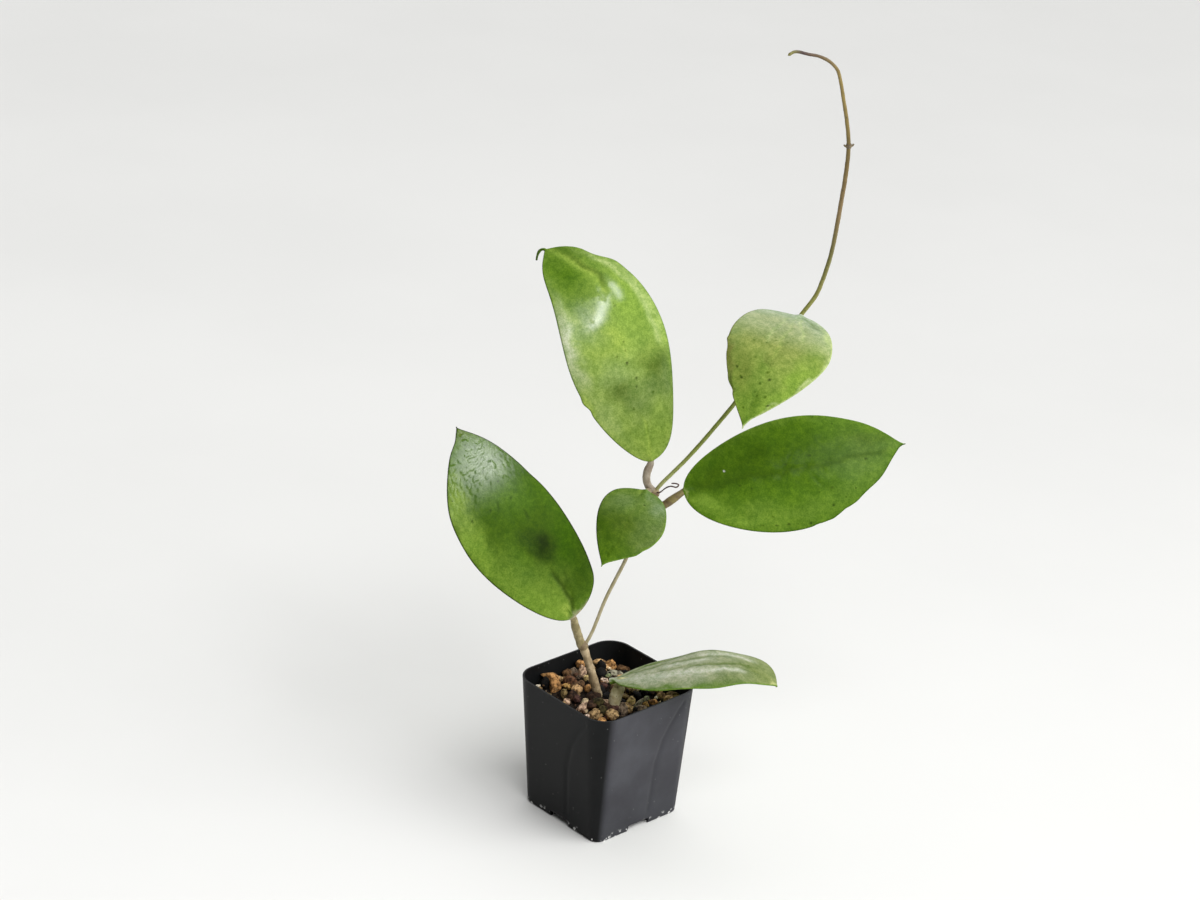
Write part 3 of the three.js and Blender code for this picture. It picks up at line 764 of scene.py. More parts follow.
def tilted_axes(size, stretch, tilts, turn):
    """Three axes for each grain: its stretches times its size, turned about x, then y, then z."""
    axes = np.zeros((len(size), 3, 3))
    for k in range(3):
        axes[:, k, k] = size * stretch[:, k]
    for angle, a, b in ((tilts[:, 0], 1, 2), (tilts[:, 1], 2, 0), (turn, 0, 1)):
        c, s = np.cos(angle)[:, None], np.sin(angle)[:, None]
        first, second = axes[..., a].copy(), axes[..., b].copy()
        axes[..., a] = c * first - s * second
        axes[..., b] = s * first + c * second
    return axes


def lattice_grains(material, taken):
    """The coarse grains of the solid mix, at the same places and sizes: a lattice of offset rows, each
    grain moved, tilted, turned and stretched by the seeded stream. Those that stand where a seen grain
    lies are left out."""
    across = POT_TOP / 2 - WALL
    pitch = GRAIN_PITCH * math.sqrt(3) / 2
    count = int(across / pitch)
    spots = []
    for row in range(-count, count + 1):
        x = -across + (GRAIN_PITCH / 2 if row % 2 else 0)
        while x <= across:
            spots.append((x, row * pitch))
            x += GRAIN_PITCH
    spots = np.array(spots)
    each = GRAIN_DRAWS + PLACE_DRAWS
    drawn = number_stream(SEED, len(spots) * each).reshape(-1, each)[:, GRAIN_DRAWS:]
    size = blend(GRAIN_SMALL, GRAIN_LARGE, drawn[:, 0] ** GRAIN_SKEW)
    least, most = np.array(GRAIN_STRETCH).T
    stretch = blend(least, most, drawn[:, 1:4])
    axes = tilted_axes(size, stretch, (2 * drawn[:, 4:6] - 1) * GRAIN_TILT, drawn[:, 6] * math.pi)
    away = GRAIN_JITTER * drawn[:, 7]
    towards = 2 * math.pi * drawn[:, 8]
    x = spots[:, 0] + away * np.cos(towards)
    y = spots[:, 1] + away * np.sin(towards)
    z = mound(x, y) + size * (GRAIN_LIFT * drawn[:, 9] - GRAIN_SUNK)
    places = np.stack([x, y, z], -1)
    near = np.linalg.norm(places[:, None, :2] - taken[None, :, :2], axis=-1).min(1)
    keep = (near > SEEN_CLEAR) & inside_pot(x, y, size)
    places, axes = places[keep], axes[keep]
    tints = tone_draw(np.random.default_rng(SEED), RANDOM_TONES, len(places))
    grain_piece("lattice_grains", material, LATTICE_CELLS, GRAIN_DENTS, places, axes, tints, SEED + 1)


def tone_draw(draw, names, count):
    """A tone for each grain, a little lighter or darker than its name says."""
    picked = np.array([TONES[names[k]] for k in draw.integers(0, len(names), count)])
    return picked * draw.uniform(0.5, 1.15, (count, 1))


def inside_pot(x, y, margin):
    """Whether a place at the mix's height lies inside the wall by a margin: a rounded-square test."""
    half = blend(POT_FOOT, POT_TOP, MIX_EDGE / POT_TALL) / 2 - WALL
    corner = blend(CORNER_FOOT, CORNER_TOP, MIX_EDGE / POT_TALL) - WALL
    past = np.maximum(np.stack([np.abs(x), np.abs(y)], -1) - (half - corner), 0)
    return np.linalg.norm(past, axis=-1) <= corner - margin


def crumbs(material):
    """Small crumbs between the grains, at seeded places, each a little crushed stone."""
    draw = np.random.default_rng(SEED + 2)
    x, y = draw.uniform(-CRUMB_REACH, CRUMB_REACH, (2, CRUMBS * 2))
    keep = np.flatnonzero(inside_pot(x, y, CRUMB_MARGIN))[:CRUMBS]
    x, y = x[keep], y[keep]
    count = len(x)
    size = CRUMB_SMALL + CRUMB_SPAN * draw.random(count) ** CRUMB_SKEW
    z = mound(x, y) + draw.uniform(-0.3, 1.0, count) * size
    stretch = draw.uniform(0.6, 1.3, (count, 3))
    tilts = draw.uniform(-1.5, 1.5, (count, 2))
    axes = tilted_axes(size, stretch, tilts, draw.uniform(0, 6.3, count))
    places = np.stack([x, y, z], -1)
    tints = tone_draw(draw, CRUMB_TONES, count)
    grain_piece("crumbs", material, CRUMB_CELLS, CRUMB_DENTS, places, axes, tints, SEED + 3)


def mix_bed(material):
    """The dark fines that the grains lie in: the mound drawn in towards its middle ring by ring, with
    an uneven top, closed by the mix's side and floor inside the pot."""
    shares = np.linspace(1, 0.02, BED_RINGS)
    edge = pot_outline(np.array([MIX_EDGE]), WALL + BED_GAP)[0]
    rings = edge[None] * shares[:, None, None]
    top = mound(rings[..., 0], rings[..., 1]) - BED_SUNK
    top += BED_UNEVEN * waves(rings, 5.0, SEED + 4)
    rings[..., 2] = top
    floor = pot_outline(np.array([MIX_FLOOR]), WALL + BED_GAP)
    points, quads, caps = skin(np.concatenate([floor, rings]))
    mesh = mesh_from("mix_bed", from_pot(points), quads, caps)
    grit = waves(points, 2.5, SEED + 5)[:, None]
    add_colours(mesh, "tint", linear(36, 29, 24) * (1 + 0.5 * grit))
    make_piece("mix_bed", mesh, material, "potting_mix")


# ---------------------------------------------------------------- stems

# Each stretch of stem: the points its centre passes through, and its radius at the start, the middle
# and the end.
OLD_STEM = {
    "points": (
        (-1, -2, 42), (-1.8, -1.5, 56), (-3.8, -0.8, 67), (-6.5, 0, 75), (-10.9, 0, 89.5), (-15, 0, 101.5),
    ),
    "radii": (2.4, 2.35, 2.25),
}
BASAL_STEM = {
    "points": (
        (3.2, -16.5, 46), (3.5, -16, 60), (3.8, -15.3, 71), (4.6, -14.4, 77.5), (6.4, -13, 83.2),
    ),
    "radii": (2.7, 3, 3.2),
}
CLIMBING_VINE = {
    "points": (
        (-14, 0, 100.5), (-9.9, 1, 110), (-3.9, 3, 128.5), (6.7, 6, 154), (13.2, 7, 174), (18, 5, 188),
        (20, 3, 196), (37.2, 6, 216.4), (59.4, 11, 246), (76, 17, 270.5), (87.3, 21, 287),
        (92.3, 22.5, 295), (99.2, 22, 306.5), (102.4, 21, 317), (105.2, 18, 332), (106.9, 14, 351),
        (107.8, 11, 366), (108.5, 8, 378.5), (108.5, 5, 396.5), (106.1, 2, 411.5), (103.8, 1, 421.5),
        (101.3, 0, 432), (99, -1, 438.5), (94.5, -2, 443), (89.5, -3, 445.5), (83.5, -5, 447),
        (76.5, -7, 448.5), (73, -9, 447),
    ),
    "radii": (0.95, 1.2, 0.75),
}
LEAF_STALKS = {
    "leaf_left": {
        "points": ((-15.5, 0, 100), (-18, -0.8, 108), (-19.7, -0.9, 113.5), (-20.6, -0.1, 117)),
        "radii": (2.5, 2.4, 1.9),
    },
    "leaf_upper": {
        "points": (
            (20, 3, 195), (16, 3, 199), (14.7, 4, 203.5), (15.4, 6, 207.3), (16.6, 7.5, 209.9),
        ),
        "radii": (2, 2.2, 1.9),
    },
    "leaf_right": {
        "points": ((17, 5, 186), (20.5, 3, 185.5), (25, 2, 188.3), (30.4, 2.6, 192.5), (34.8, 4, 195.7)),
        "radii": (2.0, 2.3, 2.2),
    },
    "leaf_small": {
        "points": ((18, 5, 190.5), (16.6, 2, 195), (15.9, -0.4, 197.5), (15.4, -2.4, 198.3)),
        "radii": (1.7, 1.5, 1.1),
    },
    "leaf_high": {
        "points": ((87, 21, 287), (90.4, 19.5, 292.5), (91.7, 16.6, 296), (91.8, 14.2, 297.2)),
        "radii": (1.5, 1.5, 1.1),
    },
}
# The two tones of each leaf's stalk.
STALK_TONES = {
    "leaf_left": (linear(170, 156, 116), linear(128, 116, 76)),
    "leaf_upper": (linear(160, 148, 130), linear(132, 118, 100)),
    "leaf_right": (linear(126, 114, 66), linear(104, 88, 58)),
    "leaf_small": (linear(176, 168, 140), linear(138, 124, 92)),
    "leaf_high": (linear(176, 176, 112), linear(150, 142, 92)),
}
# How a stalk ends: shares along the blade that it runs on under, its last radius and how deep it lies.
STALK_END = ((0.012, 0.04, 0.07), 0.9, 0.5)
BASAL_END = ((0.06, 0.12, 0.2), 2.2, 1.6)
FLOWER_STALK = {
    "points": (
        (20, 3, 195.5), (22, -1, 197), (25.5, -5, 202), (28, -7, 204), (31, -8, 204), (32, -9, 206),
        (30, -10, 207.2), (28, -11, 207.5),
    ),
    "radii": (0.42, 0.36, 0.36),
}
# Swollen joints where leaves and branches grow from the vine: centre, radius and shade.
JOINTS = (
    ((-15, 0, 101), 3.0, 1.0),
    ((17.4, 5, 187.5), 2.3, 1.0),
    ((19.8, 3, 195), 2.7, 1.0),
    ((87.2, 21, 287.5), 2.0, 1.0),
    ((108.6, 5, 396.5), 1.7, 0.55),
)
STUBS = (
    {"points": ((108.5, 5, 396), (106.8, 4.6, 396.4), (105.9, 4.4, 397.2)), "radii": (0.7, 0.6, 0.45)},
    {"points": ((108.5, 5, 396), (110.4, 5.4, 396.6), (111.2, 5.5, 397.6)), "radii": (0.7, 0.6, 0.45)},
)
# Colours by the share along the vine, and along the second stem.
VINE_TINT = (
    (0.0, linear(182, 172, 138)), (0.2, linear(176, 166, 130)), (0.28, linear(150, 158, 90)),
    (0.33, linear(134, 146, 62)), (0.52, linear(134, 146, 62)), (0.6, linear(146, 142, 78)),
    (0.65, linear(118, 114, 60)), (0.72, linear(134, 112, 74)), (0.81, linear(112, 94, 44)),
    (0.91, linear(142, 124, 68)), (0.96, linear(96, 76, 48)), (0.98, linear(62, 40, 40)),
    (1.0, linear(140, 138, 66)),
)
BASAL_TINT = ((0.45, (0.5, 0.46, 0.38)), (0.56, (0.95, 0.92, 0.86)), (0.75, (0.8, 0.86, 0.62)))
PLAIN_TINT = ((0.0, (1.0, 1.0, 1.0)),)
STUB_TINT = ((0.0, (0.5, 0.5, 0.5)),)

CURVE_CELLS = 24  # points to each stretch of a path
STEM_WAVES = 6.0


def smooth_path(points, step):
    """Points spaced evenly along a centripetal Catmull-Rom curve through the given ones: each stretch
    is a cubic whose slopes come from its neighbours, weighed by the square roots of the distances."""
    p = np.array(points, float)
    p = np.concatenate([[2 * p[0] - p[1]], p, [2 * p[-1] - p[-2]]])
    gap = np.sqrt(np.linalg.norm(np.diff(p, axis=0), axis=1))[:, None]
    d0, d1, d2 = gap[:-2], gap[1:-1], gap[2:]
    a, b, c, d = p[:-3], p[1:-2], p[2:-1], p[3:]
    leave = ((b - a) / d0 - (c - a) / (d0 + d1) + (c - b) / d1) * d1
    arrive = ((c - b) / d1 - (d - b) / (d1 + d2) + (d - c) / d2) * d1
    t = np.linspace(0, 1, CURVE_CELLS, endpoint=False)[None, :, None]
    b, c, leave, arrive = (x[:, None] for x in (b, c, leave, arrive))
    curve = (
        (2 * t**3 - 3 * t**2 + 1) * b
        + (t**3 - 2 * t**2 + t) * leave
        + (3 * t**2 - 2 * t**3) * c
        + (t**3 - t**2) * arrive
    )
    line = np.concatenate([curve.reshape(-1, 3), p[-2:-1]])
    run = np.concatenate([[0], np.cumsum(np.linalg.norm(np.diff(line, axis=0), axis=1))])
    even = np.linspace(0, run[-1], max(6, int(run[-1] / step)))
    return np.stack([np.interp(even, run, line[:, k]) for k in range(3)], -1), even / run[-1]


def stem_mesh(
    name, stem, step=0.8, around=18, side=(0.2, 1.0, 0.1), knobs=0.05, seed=0, swell=(), tint=PLAIN_TINT
):
    """A round stem: circles carried along its path, across it and a fixed side direction. The radius
    goes from start to middle to end, grows by each swelling as a bell curve of the share along, and is
    uneven by waves. Both ends are rounded in over a little more than half a radius. Its points carry
    the colours that tint gives, as stops of share along and colour."""
    centre, share = smooth_path(stem["points"], step)
    along = unit(np.gradient(centre, axis=0))
    across = unit(np.cross(np.array(side, float), along))
    out = np.cross(along, across)
    radius = through(*stem["radii"], share)
    for at, more, wide in swell:
        radius = radius + more * bell((share - at) / wide)
    run = share * np.linalg.norm(np.diff(centre, axis=0), axis=1).sum()
    for from_end in (run, run[-1] - run):
        near = np.clip(from_end / (0.6 * radius), 0, 1)
        radius = radius * np.sqrt(np.maximum(1 - (1 - near) ** 2, 0.02))
    angle = np.linspace(0, 2 * math.pi, around, endpoint=False)[None, :, None]
    spoke = across[:, None] * np.cos(angle) + out[:, None] * np.sin(angle)
    rings = centre[:, None] + spoke * radius[:, None, None]
    uneven = 1 + knobs * waves(rings, STEM_WAVES, SEED + seed)
    rings = centre[:, None] + spoke * (radius[:, None] * uneven)[..., None]
    mesh = skin_mesh(name, rings, from_plant)
    shares = np.concatenate([np.repeat(share, around), [0, 1]])
    stops = np.array([at for at, _ in tint])
    colours = np.array([colour for _, colour in tint])
    add_colours(mesh, "tint", np.stack([np.interp(shares, stops, colours[:, k]) for k in range(3)], -1))
    return mesh


def joint_mesh(name, at, radius, shade, seed):
    """A swollen joint: a ball with an uneven skin, darkened by its shade."""
    directions, quads, caps = ball(18, 26)
    lumps = 1 + 0.07 * waves(directions + seed, 1.4, SEED + seed)
    points = np.array(at, float) + directions * (radius * lumps)[:, None]
    mesh = mesh_from(name, from_plant(points), quads, caps)
    add_colours(mesh, "tint", np.full((len(points), 3), shade))
    return mesh


def into_blade(stem, leaf, shares, end, sunk):
    """A stalk that runs on under its blade's midrib, by those shares along it, to an end that thick."""
    centre = bezier(leaf["midrib"], np.array(shares))
    under = centre - direction(*leaf["facing"][0]) * (LEAF_MIDDLE / 2 + sunk)
    start, middle, _ = stem["radii"]
    return {"points": (*stem["points"], *under), "radii": (start, middle, end)}


def stems():
    """The old stem, the vine, its stalks, joints and stubs, and the second stem out of the mix."""
    bark = stem_finish("old_bark", linear(188, 168, 134), linear(148, 128, 96), 0.4, 0.75)
    stalk = stem_finish("stalk_skin", linear(164, 148, 112), linear(122, 104, 76), 0.35, 0.6)
    plain = stem_finish("vine_skin", (1.0, 1.0, 1.0), (0.84, 0.82, 0.76), 0.25, 0.55)
    thread = stem_finish("flower_stalk_skin", linear(96, 66, 52), linear(62, 42, 36), 0.3, 0.7)
    basal = stem_finish("basal_bark", linear(204, 196, 164), linear(176, 164, 126), 0.45, 0.75)

    knots = ((0.62, 0.4, 0.04), (0.3, 0.3, 0.05))
    old = stem_mesh("old_stem", OLD_STEM, knobs=0.09, seed=11, swell=knots)
    make_piece("old_stem", old, bark, "vine")
    bulge = ((0.78, 0.2, 0.14),)
    vine = stem_mesh(
        "climbing_vine", CLIMBING_VINE, step=1.0, around=14, seed=12, swell=bulge, tint=VINE_TINT
    )
    make_piece("climbing_vine", vine, plain, "vine")
    for k, (leaf, stem) in enumerate(LEAF_STALKS.items()):
        name = leaf + "_stalk"
        stem = into_blade(stem, LEAVES[leaf], *STALK_END)
        mesh = stem_mesh(name, stem, step=0.35, seed=20 + k, side=(0.9, 0.4, 0.1))
        make_piece(name, mesh, stem_finish(name + "_skin", *STALK_TONES[leaf], 0.3, 0.6), "vine")
    flower = stem_mesh(
        "flower_stalk", FLOWER_STALK, step=0.3, around=10, knobs=0.15, seed=31, side=(0.1, 0.2, 1)
    )
    make_piece("flower_stalk", flower, thread, "vine")
    for k, stub in enumerate(STUBS):
        name = f"leaf_stub_{k + 1}"
        mesh = stem_mesh(name, stub, step=0.15, around=10, seed=40 + k, tint=STUB_TINT)
        make_piece(name, mesh, stalk, "vine")
    for k, (at, radius, shade) in enumerate(JOINTS):
        name = f"joint_{k + 1}"
        make_piece(name, joint_mesh(name, at, radius, shade, 50 + k), stalk, "vine")

    stem = into_blade(BASAL_STEM, LEAVES["leaf_basal"], *BASAL_END)
    bulge = ((0.62, 0.7, 0.12),)
    second = stem_mesh("basal_stem", stem, step=0.6, seed=13, swell=bulge, tint=BASAL_TINT)
    make_piece("basal_stem", second, basal, "basal_stem")


# ---------------------------------------------------------------- leaves

# The grid of a blade, and its thickness in the middle and at the margins.
LEAF_ROWS = 220
LEAF_CELLS = 124
LEAF_MIDDLE = 1.3
LEAF_MARGIN = 0.85
# The least half width at the base, at the tip and where a tip goes over into a hook.
BASE_HALF = 1.6
TIP_HALF = 0.3
HOOK_HALF = 0.8
HOOK_SWELL = 0.15
HOOK_ROWS = 16
# The midrib's ridge underneath.
RIDGE_DEEP = 0.9
RIDGE_WIDE = 1.3
# The wavelengths of puckers and of slow unevenness, and how far the edges of blots wander.
QUILT_LENGTH = 6.0
SKIN_LENGTH = 16.0
BLOT_WANDER = 2.2
SPECK_STRONG = 0.85
EDGE_STRONG = 0.9
# Near its base a blade swells to its stalk: by how much, how far along it and how far across it.
STALK_SWELL = (0.9, 5, 2.0)
# How a crease wanders across: by how many millimetres, and how often along the blade.
CREASE_WANDER = ((0.6, 4.3), (0.35, 11))

# Tones of the blades without any gloss. Some pale ones are also laid on as painted sheen and painted
# highlight, as the leaves below say.
LEAF_TONES = palette({
    "ink": (26, 38, 8), "bottle": (38, 60, 4), "deep green": (64, 96, 6), "vivid green": (66, 110, 0),
    "moss green": (84, 110, 30), "grass green": (84, 122, 20), "mid green": (106, 140, 44),
    "bright green": (128, 164, 54), "apple": (142, 172, 72), "yellow green": (166, 194, 78),
    "pale green": (178, 198, 122), "hay green": (168, 178, 114), "pale olive": (138, 154, 74),
    "sage": (152, 162, 120), "dull olive": (118, 134, 66), "silver green": (160, 180, 142),
    "silver sage": (188, 196, 164), "grey green": (112, 138, 74), "olive": (112, 130, 48),
    "brown green": (100, 106, 44), "straw": (204, 210, 136), "callus": (200, 182, 160),
    "white": (246, 246, 240),
})

# Each leaf, as the solid has it: the control points of its midrib, the way its upper face looks at the
# base and the tip (degrees round from -y and above the horizon), for each side the half width, the sine
# terms of its outline and its droop, and the height and number of its ripples. "tip" is the share of the
# length over which it draws in to its point, and "hook", where a leaf has one, where that curls on to.
# Where things lie on a blade is told by the share along from the base, 0 to 1, and across from the left
# margin, -1, to the right, 1:
#   bumps      side, along, spread, by how many millimetres the outline stands out there
#   swells     along, across, their spreads, height in millimetres
#   quilt      the same, for skin that is puckered that deep
#   creases    path, half width and depth in millimetres, tone, strength; a dark crease tone is
#              partly the vein's own colour and partly painted shade along it
#   gloss      along, across, their spreads, strength
#   streaks    glossy lines, where a leaf has some, told as creases are
#   tones      at the base, in the middle and at the tip
#   edges      the tones at the left and at the right margin
#   under      the tone of the lower face
#   blots      along, across, their spreads, tone, strength
#   specks     along, across, radius in millimetres, tone
LEAVES = {
    "leaf_left": {
        "midrib": ((-21, 0, 118), (-45, 3.5, 152), (-70, 23, 179.5), (-90.7, 36.5, 213)),
        "facing": ((11, 25), (16, 38)),
        "left": (26.5, (0.05, -0.12, 0.03), 2.5),
        "right": (28, (0.18, -0.01, 0.04), 3),
        "ripple": (0.7, 2.3),
        "tip": 0.034,
        "bumps": (
            ("right", 0.66, 0.05, -0.4), ("left", 0.945, 0.03, -1.5), ("right", 0.08, 0.06, 1.0),
            ("right", 0.88, 0.1, 0.7), ("left", 0.68, 0.1, 0.9),
        ),
        "swells": ((0.62, 0.1, 0.16, 0.8, 1.0), (0.2, -0.5, 0.12, 0.4, 0.6)),
        "quilt": ((0.83, 0.1, 0.14, 1.3, 0.32), (0.7, 0.0, 0.09, 0.9, 0.2), (0.5, 0.2, 0.5, 2.0, 0.05)),
        "creases": (
            (
                ((0.01, 0.1), (0.035, 0.22), (0.09, 0.19), (0.165, 0.15), (0.25, 0.19)),
                1.3, 0.7, "bottle", 0.6,
            ),
            (((0.2, 0.18), (0.45, 0.1), (0.7, 0.05), (0.97, 0.0)), 1.6, 0.12, "deep green", 0.12),
            (((0.57, -0.1), (0.6, -0.06), (0.64, -0.04)), 0.7, 0.15, "bottle", 0.5),
            (((0.48, 0.36), (0.51, 0.33), (0.55, 0.32)), 0.8, 0.15, "bottle", 0.55),
        ),
        "gloss": ((0.84, 0.1, 0.12, 1.1, 0.5), (0.75, 0.3, 0.05, 0.5, 0.16)),
        "tones": ("bright green", "deep green", "grass green"),
        "edges": ("ink", "ink"),
        "under": "grey green",
        "blots": (
            (0.28, 0.75, 0.3, 0.5, "vivid green", 0.9), (0.2, 0.85, 0.1, 0.2, "grass green", 0.6),
            (0.1, 0.55, 0.08, 0.3, "deep green", 0.7), (0.5, 0.45, 0.13, 0.4, "grass green", 0.8),
            (0.3, -0.45, 0.14, 0.5, "mid green", 0.8), (0.36, -0.1, 0.1, 0.3, "grass green", 0.8),
            (0.15, -0.3, 0.1, 0.5, "mid green", 0.5), (0.52, -0.8, 0.09, 0.22, "bright green", 0.8),
            (0.4, -0.88, 0.12, 0.2, "bright green", 0.6), (0.1, -0.45, 0.1, 0.5, "bright green", 0.8),
            (0.05, 0.05, 0.03, 0.12, "yellow green", 0.8), (0.16, -0.8, 0.1, 0.3, "bright green", 0.5),
            (0.42, 0.3, 0.1, 0.4, "deep green", 0.8), (0.355, 0.24, 0.065, 0.24, "bottle", 1.0),
            (0.36, 0.26, 0.03, 0.11, "ink", 0.3), (0.44, 0.12, 0.04, 0.2, "bottle", 0.35),
            (0.47, 0.62, 0.06, 0.22, "deep green", 0.7), (0.33, 0.1, 0.04, 0.14, "bottle", 0.55),
            (0.29, 0.3, 0.03, 0.1, "bottle", 0.4), (0.1, 0.3, 0.05, 0.1, "deep green", 0.8),
            (0.17, 0.28, 0.04, 0.12, "bottle", 0.35), (0.62, 0.2, 0.08, 0.4, "grass green", 0.6),
            # The silver green blot at the tip is partly the waxy bloom and partly painted sheen.
            (0.55, 0.95, 0.1, 0.2, "grass green", 0.6), (0.8, 0.1, 0.12, 0.8, "silver green", 0.35),
            (0.69, -0.85, 0.13, 0.25, "apple", 0.8), (0.965, 0.1, 0.03, 0.9, "olive", 0.8),
            (0.0, 0.0, 0.012, 2.0, "callus", 0.9),
        ),
        "specks": (
            (0.604, -0.22, 0.9, "bottle"), (0.604, -0.62, 0.8, "bottle"), (0.604, 0.26, 0.7, "bottle"),
        ),
    },
    "leaf_upper": {
        "midrib": ((17, 8, 211.5), (1, 19, 249), (-1, 28.5, 298.5), (-47, 59, 311)),
        "facing": ((5, 20), (4, 54)),
        "left": (27.5, (-0.02, -0.05, -0.04), 4.5),
        "right": (27.5, (-0.03, -0.02, 0.05), 7.5),
        "ripple": (0.8, 2.6),
        "hook": ((-50.5, 60, 311), (-51, 59, 304.6)),
        "tip": 0.02,
        "bumps": (
            ("left", 0.3, 0.02, 0.7), ("left", 0.265, 0.018, -0.7), ("left", 0.6, 0.25, 1.0),
            ("right", 0.87, 0.04, -2.4), ("right", 0.81, 0.03, 0.8),
        ),
        "swells": ((0.6, -0.95, 0.22, 0.3, 1.7), (0.25, 0.3, 0.15, 0.4, 0.6)),
        "quilt": ((0.64, -0.45, 0.12, 0.35, 0.12), (0.5, 0.0, 0.5, 2.0, 0.03)),
        "creases": (
            (
                ((0.71, 0.22), (0.79, 0.27), (0.86, 0.2), (0.93, 0.27), (0.99, 0.3)),
                2.2, 0.45, "yellow green", 0.45,
            ),
            # The second crease's dark moss green is painted shadow beside the fold at the tip.
            (((0.74, 0.3), (0.79, 0.36), (0.855, 0.31), (0.93, 0.45)), 1.8, 0.1, "moss green", 0.6),
            (((0.01, 0.1), (0.09, 0.13), (0.2, 0.08)), 0.8, 0.2, "yellow green", 0.5),
            # The last crease's pale green is a painted highlight where the right margin bends back.
            (((0.45, 0.78), (0.6, 0.8), (0.74, 0.76), (0.9, 0.85)), 1.6, 0.1, "pale green", 0.5),
        ),
        "gloss": ((0.6, -0.93, 0.18, 0.19, 0.35), (0.66, -0.4, 0.07, 0.35, 0.14)),
        "streaks": (
            (
                ((0.6, -0.31), (0.63, -0.21), (0.65, -0.09), (0.68, 0.03), (0.71, 0.11), (0.75, 0.13)),
                4.4, 0, "white", 1.0,
            ),
            (((0.66, 0.43), (0.78, 0.43)), 2.3, 0, "white", 1.0),
        ),
        "tones": ("apple", "apple", "mid green"),
        "edges": ("deep green", "grey green"),
        "under": "pale green",
        "blots": (
            (0.87, -0.3, 0.12, 0.65, "grass green", 0.95), (0.94, 0.6, 0.05, 0.5, "deep green", 0.7),
            (0.75, -0.3, 0.06, 0.25, "mid green", 0.7), (0.54, -0.02, 0.09, 0.2, "yellow green", 0.6),
            (0.38, -0.2, 0.06, 0.4, "silver green", 0.2), (0.62, 0.3, 0.1, 0.35, "bright green", 0.5),
            (0.65, 0.65, 0.12, 0.3, "bright green", 0.5), (0.54, 0.55, 0.07, 0.22, "mid green", 0.5),
            # The pale green blot at the right margin is a painted highlight where it bends back; the pale
            # green, white and silver sage blots along the left margin are painted sheen, partly the waxy
            # bloom.
            (0.68, 0.88, 0.17, 0.12, "pale green", 0.5), (0.59, -0.92, 0.2, 0.18, "pale green", 0.65),
            (0.62, -0.95, 0.13, 0.13, "white", 0.28), (0.47, -0.88, 0.1, 0.16, "silver sage", 0.3),
            (0.64, -0.4, 0.07, 0.25, "silver green", 0.45), (0.37, 0.62, 0.07, 0.32, "moss green", 0.95),
            (0.31, -0.26, 0.05, 0.22, "moss green", 0.85), (0.3, 0.85, 0.09, 0.18, "grey green", 0.7),
            (0.25, 0.1, 0.07, 0.45, "grey green", 0.6), (0.3, 0.45, 0.05, 0.3, "grey green", 0.5),
            (0.22, -0.75, 0.1, 0.25, "pale green", 0.4), (0.28, -0.97, 0.05, 0.12, "yellow green", 0.7),
            (0.1, 0.3, 0.06, 0.7, "bright green", 0.4), (0.03, 0.0, 0.04, 0.7, "yellow green", 0.5),
            (0.0, 0.0, 0.01, 2.0, "olive", 0.8),
        ),
        "specks": (
            (0.42, 0.04, 1.1, "ink"), (0.35, 0.15, 0.9, "bottle"), (0.316, 0.11, 0.8, "bottle"),
            (0.505, 0.1, 0.8, "moss green"), (0.655, 0.22, 0.7, "moss green"),
            (0.458, -0.11, 0.7, "moss green"), (0.278, 0.47, 0.9, "deep green"),
            (0.232, -0.07, 0.9, "deep green"), (0.47, 0.08, 0.5, "moss green"),
        ),
    },
    "leaf_right": {
        "midrib": ((35.2, 4, 197), (76, 1.5, 205), (112.5, 6.5, 216.5), (153.8, 16, 226)),
        "facing": ((4, 28), (10, 37)),
        "left": (28, (0.05, -0.08, 0.02), 4.5),
        "right": (28, (0.12, -0.12, 0.04), 3.5),
        "ripple": (0.6, 2.1),
        "tip": 0.045,
        "bumps": (
            ("left", 0.88, 0.08, 0.7), ("left", 0.975, 0.015, -0.4), ("right", 0.975, 0.015, -0.7),
            ("right", 0.87, 0.06, 1.8), ("right", 0.74, 0.025, 0.4), ("right", 0.68, 0.02, -0.5),
            ("right", 0.62, 0.02, 0.4), ("right", 0.55, 0.02, -0.4),
        ),
        "swells": ((0.7, 0.5, 0.1, 0.4, 0.6), (0.45, 0.5, 0.1, 0.4, -0.4), (0.4, -0.4, 0.15, 0.4, 0.6)),
        "quilt": ((0.5, 0.0, 0.6, 2.0, 0.05),),
        "creases": (
            (
                ((0.02, 0.04), (0.25, -0.08), (0.5, -0.02), (0.75, 0.0), (0.93, 0.05)),
                2.2, 0.3, "bottle", 0.28,
            ),
            (((0.4, -0.04), (0.6, 0.0), (0.75, 0.0), (0.93, 0.05)), 1.2, 0, "deep green", 0.5),
            (((0.45, -0.02), (0.5, -0.3), (0.56, -0.6)), 1.8, 0.08, "deep green", 0.25),
            (((0.55, 0.02), (0.6, 0.3), (0.67, 0.6)), 1.8, 0.08, "deep green", 0.25),
            (((0.65, -0.02), (0.7, -0.25), (0.78, -0.5)), 1.8, 0.08, "deep green", 0.25),
            (((0.74, 0.02), (0.8, 0.25), (0.85, 0.5)), 1.0, 0.1, "mid green", 0.3),
        ),
        "gloss": ((0.5, 0.0, 0.5, 1.0, 0.02),),
        "tones": ("grass green", "grass green", "grass green"),
        "edges": ("mid green", "deep green"),
        "under": "grey green",
        "blots": (
            (0.4, -0.25, 0.3, 0.45, "deep green", 0.8), (0.62, -0.35, 0.1, 0.4, "deep green", 0.5),
            (0.09, 0.58, 0.09, 0.25, "bright green", 0.8), (0.26, 0.8, 0.14, 0.16, "bright green", 0.8),
            (0.5, 0.75, 0.22, 0.28, "mid green", 0.75), (0.3, 0.55, 0.06, 0.2, "mid green", 0.7),
            (0.95, -0.1, 0.05, 0.9, "mid green", 0.6), (0.82, 0.1, 0.14, 0.9, "grey green", 0.35),
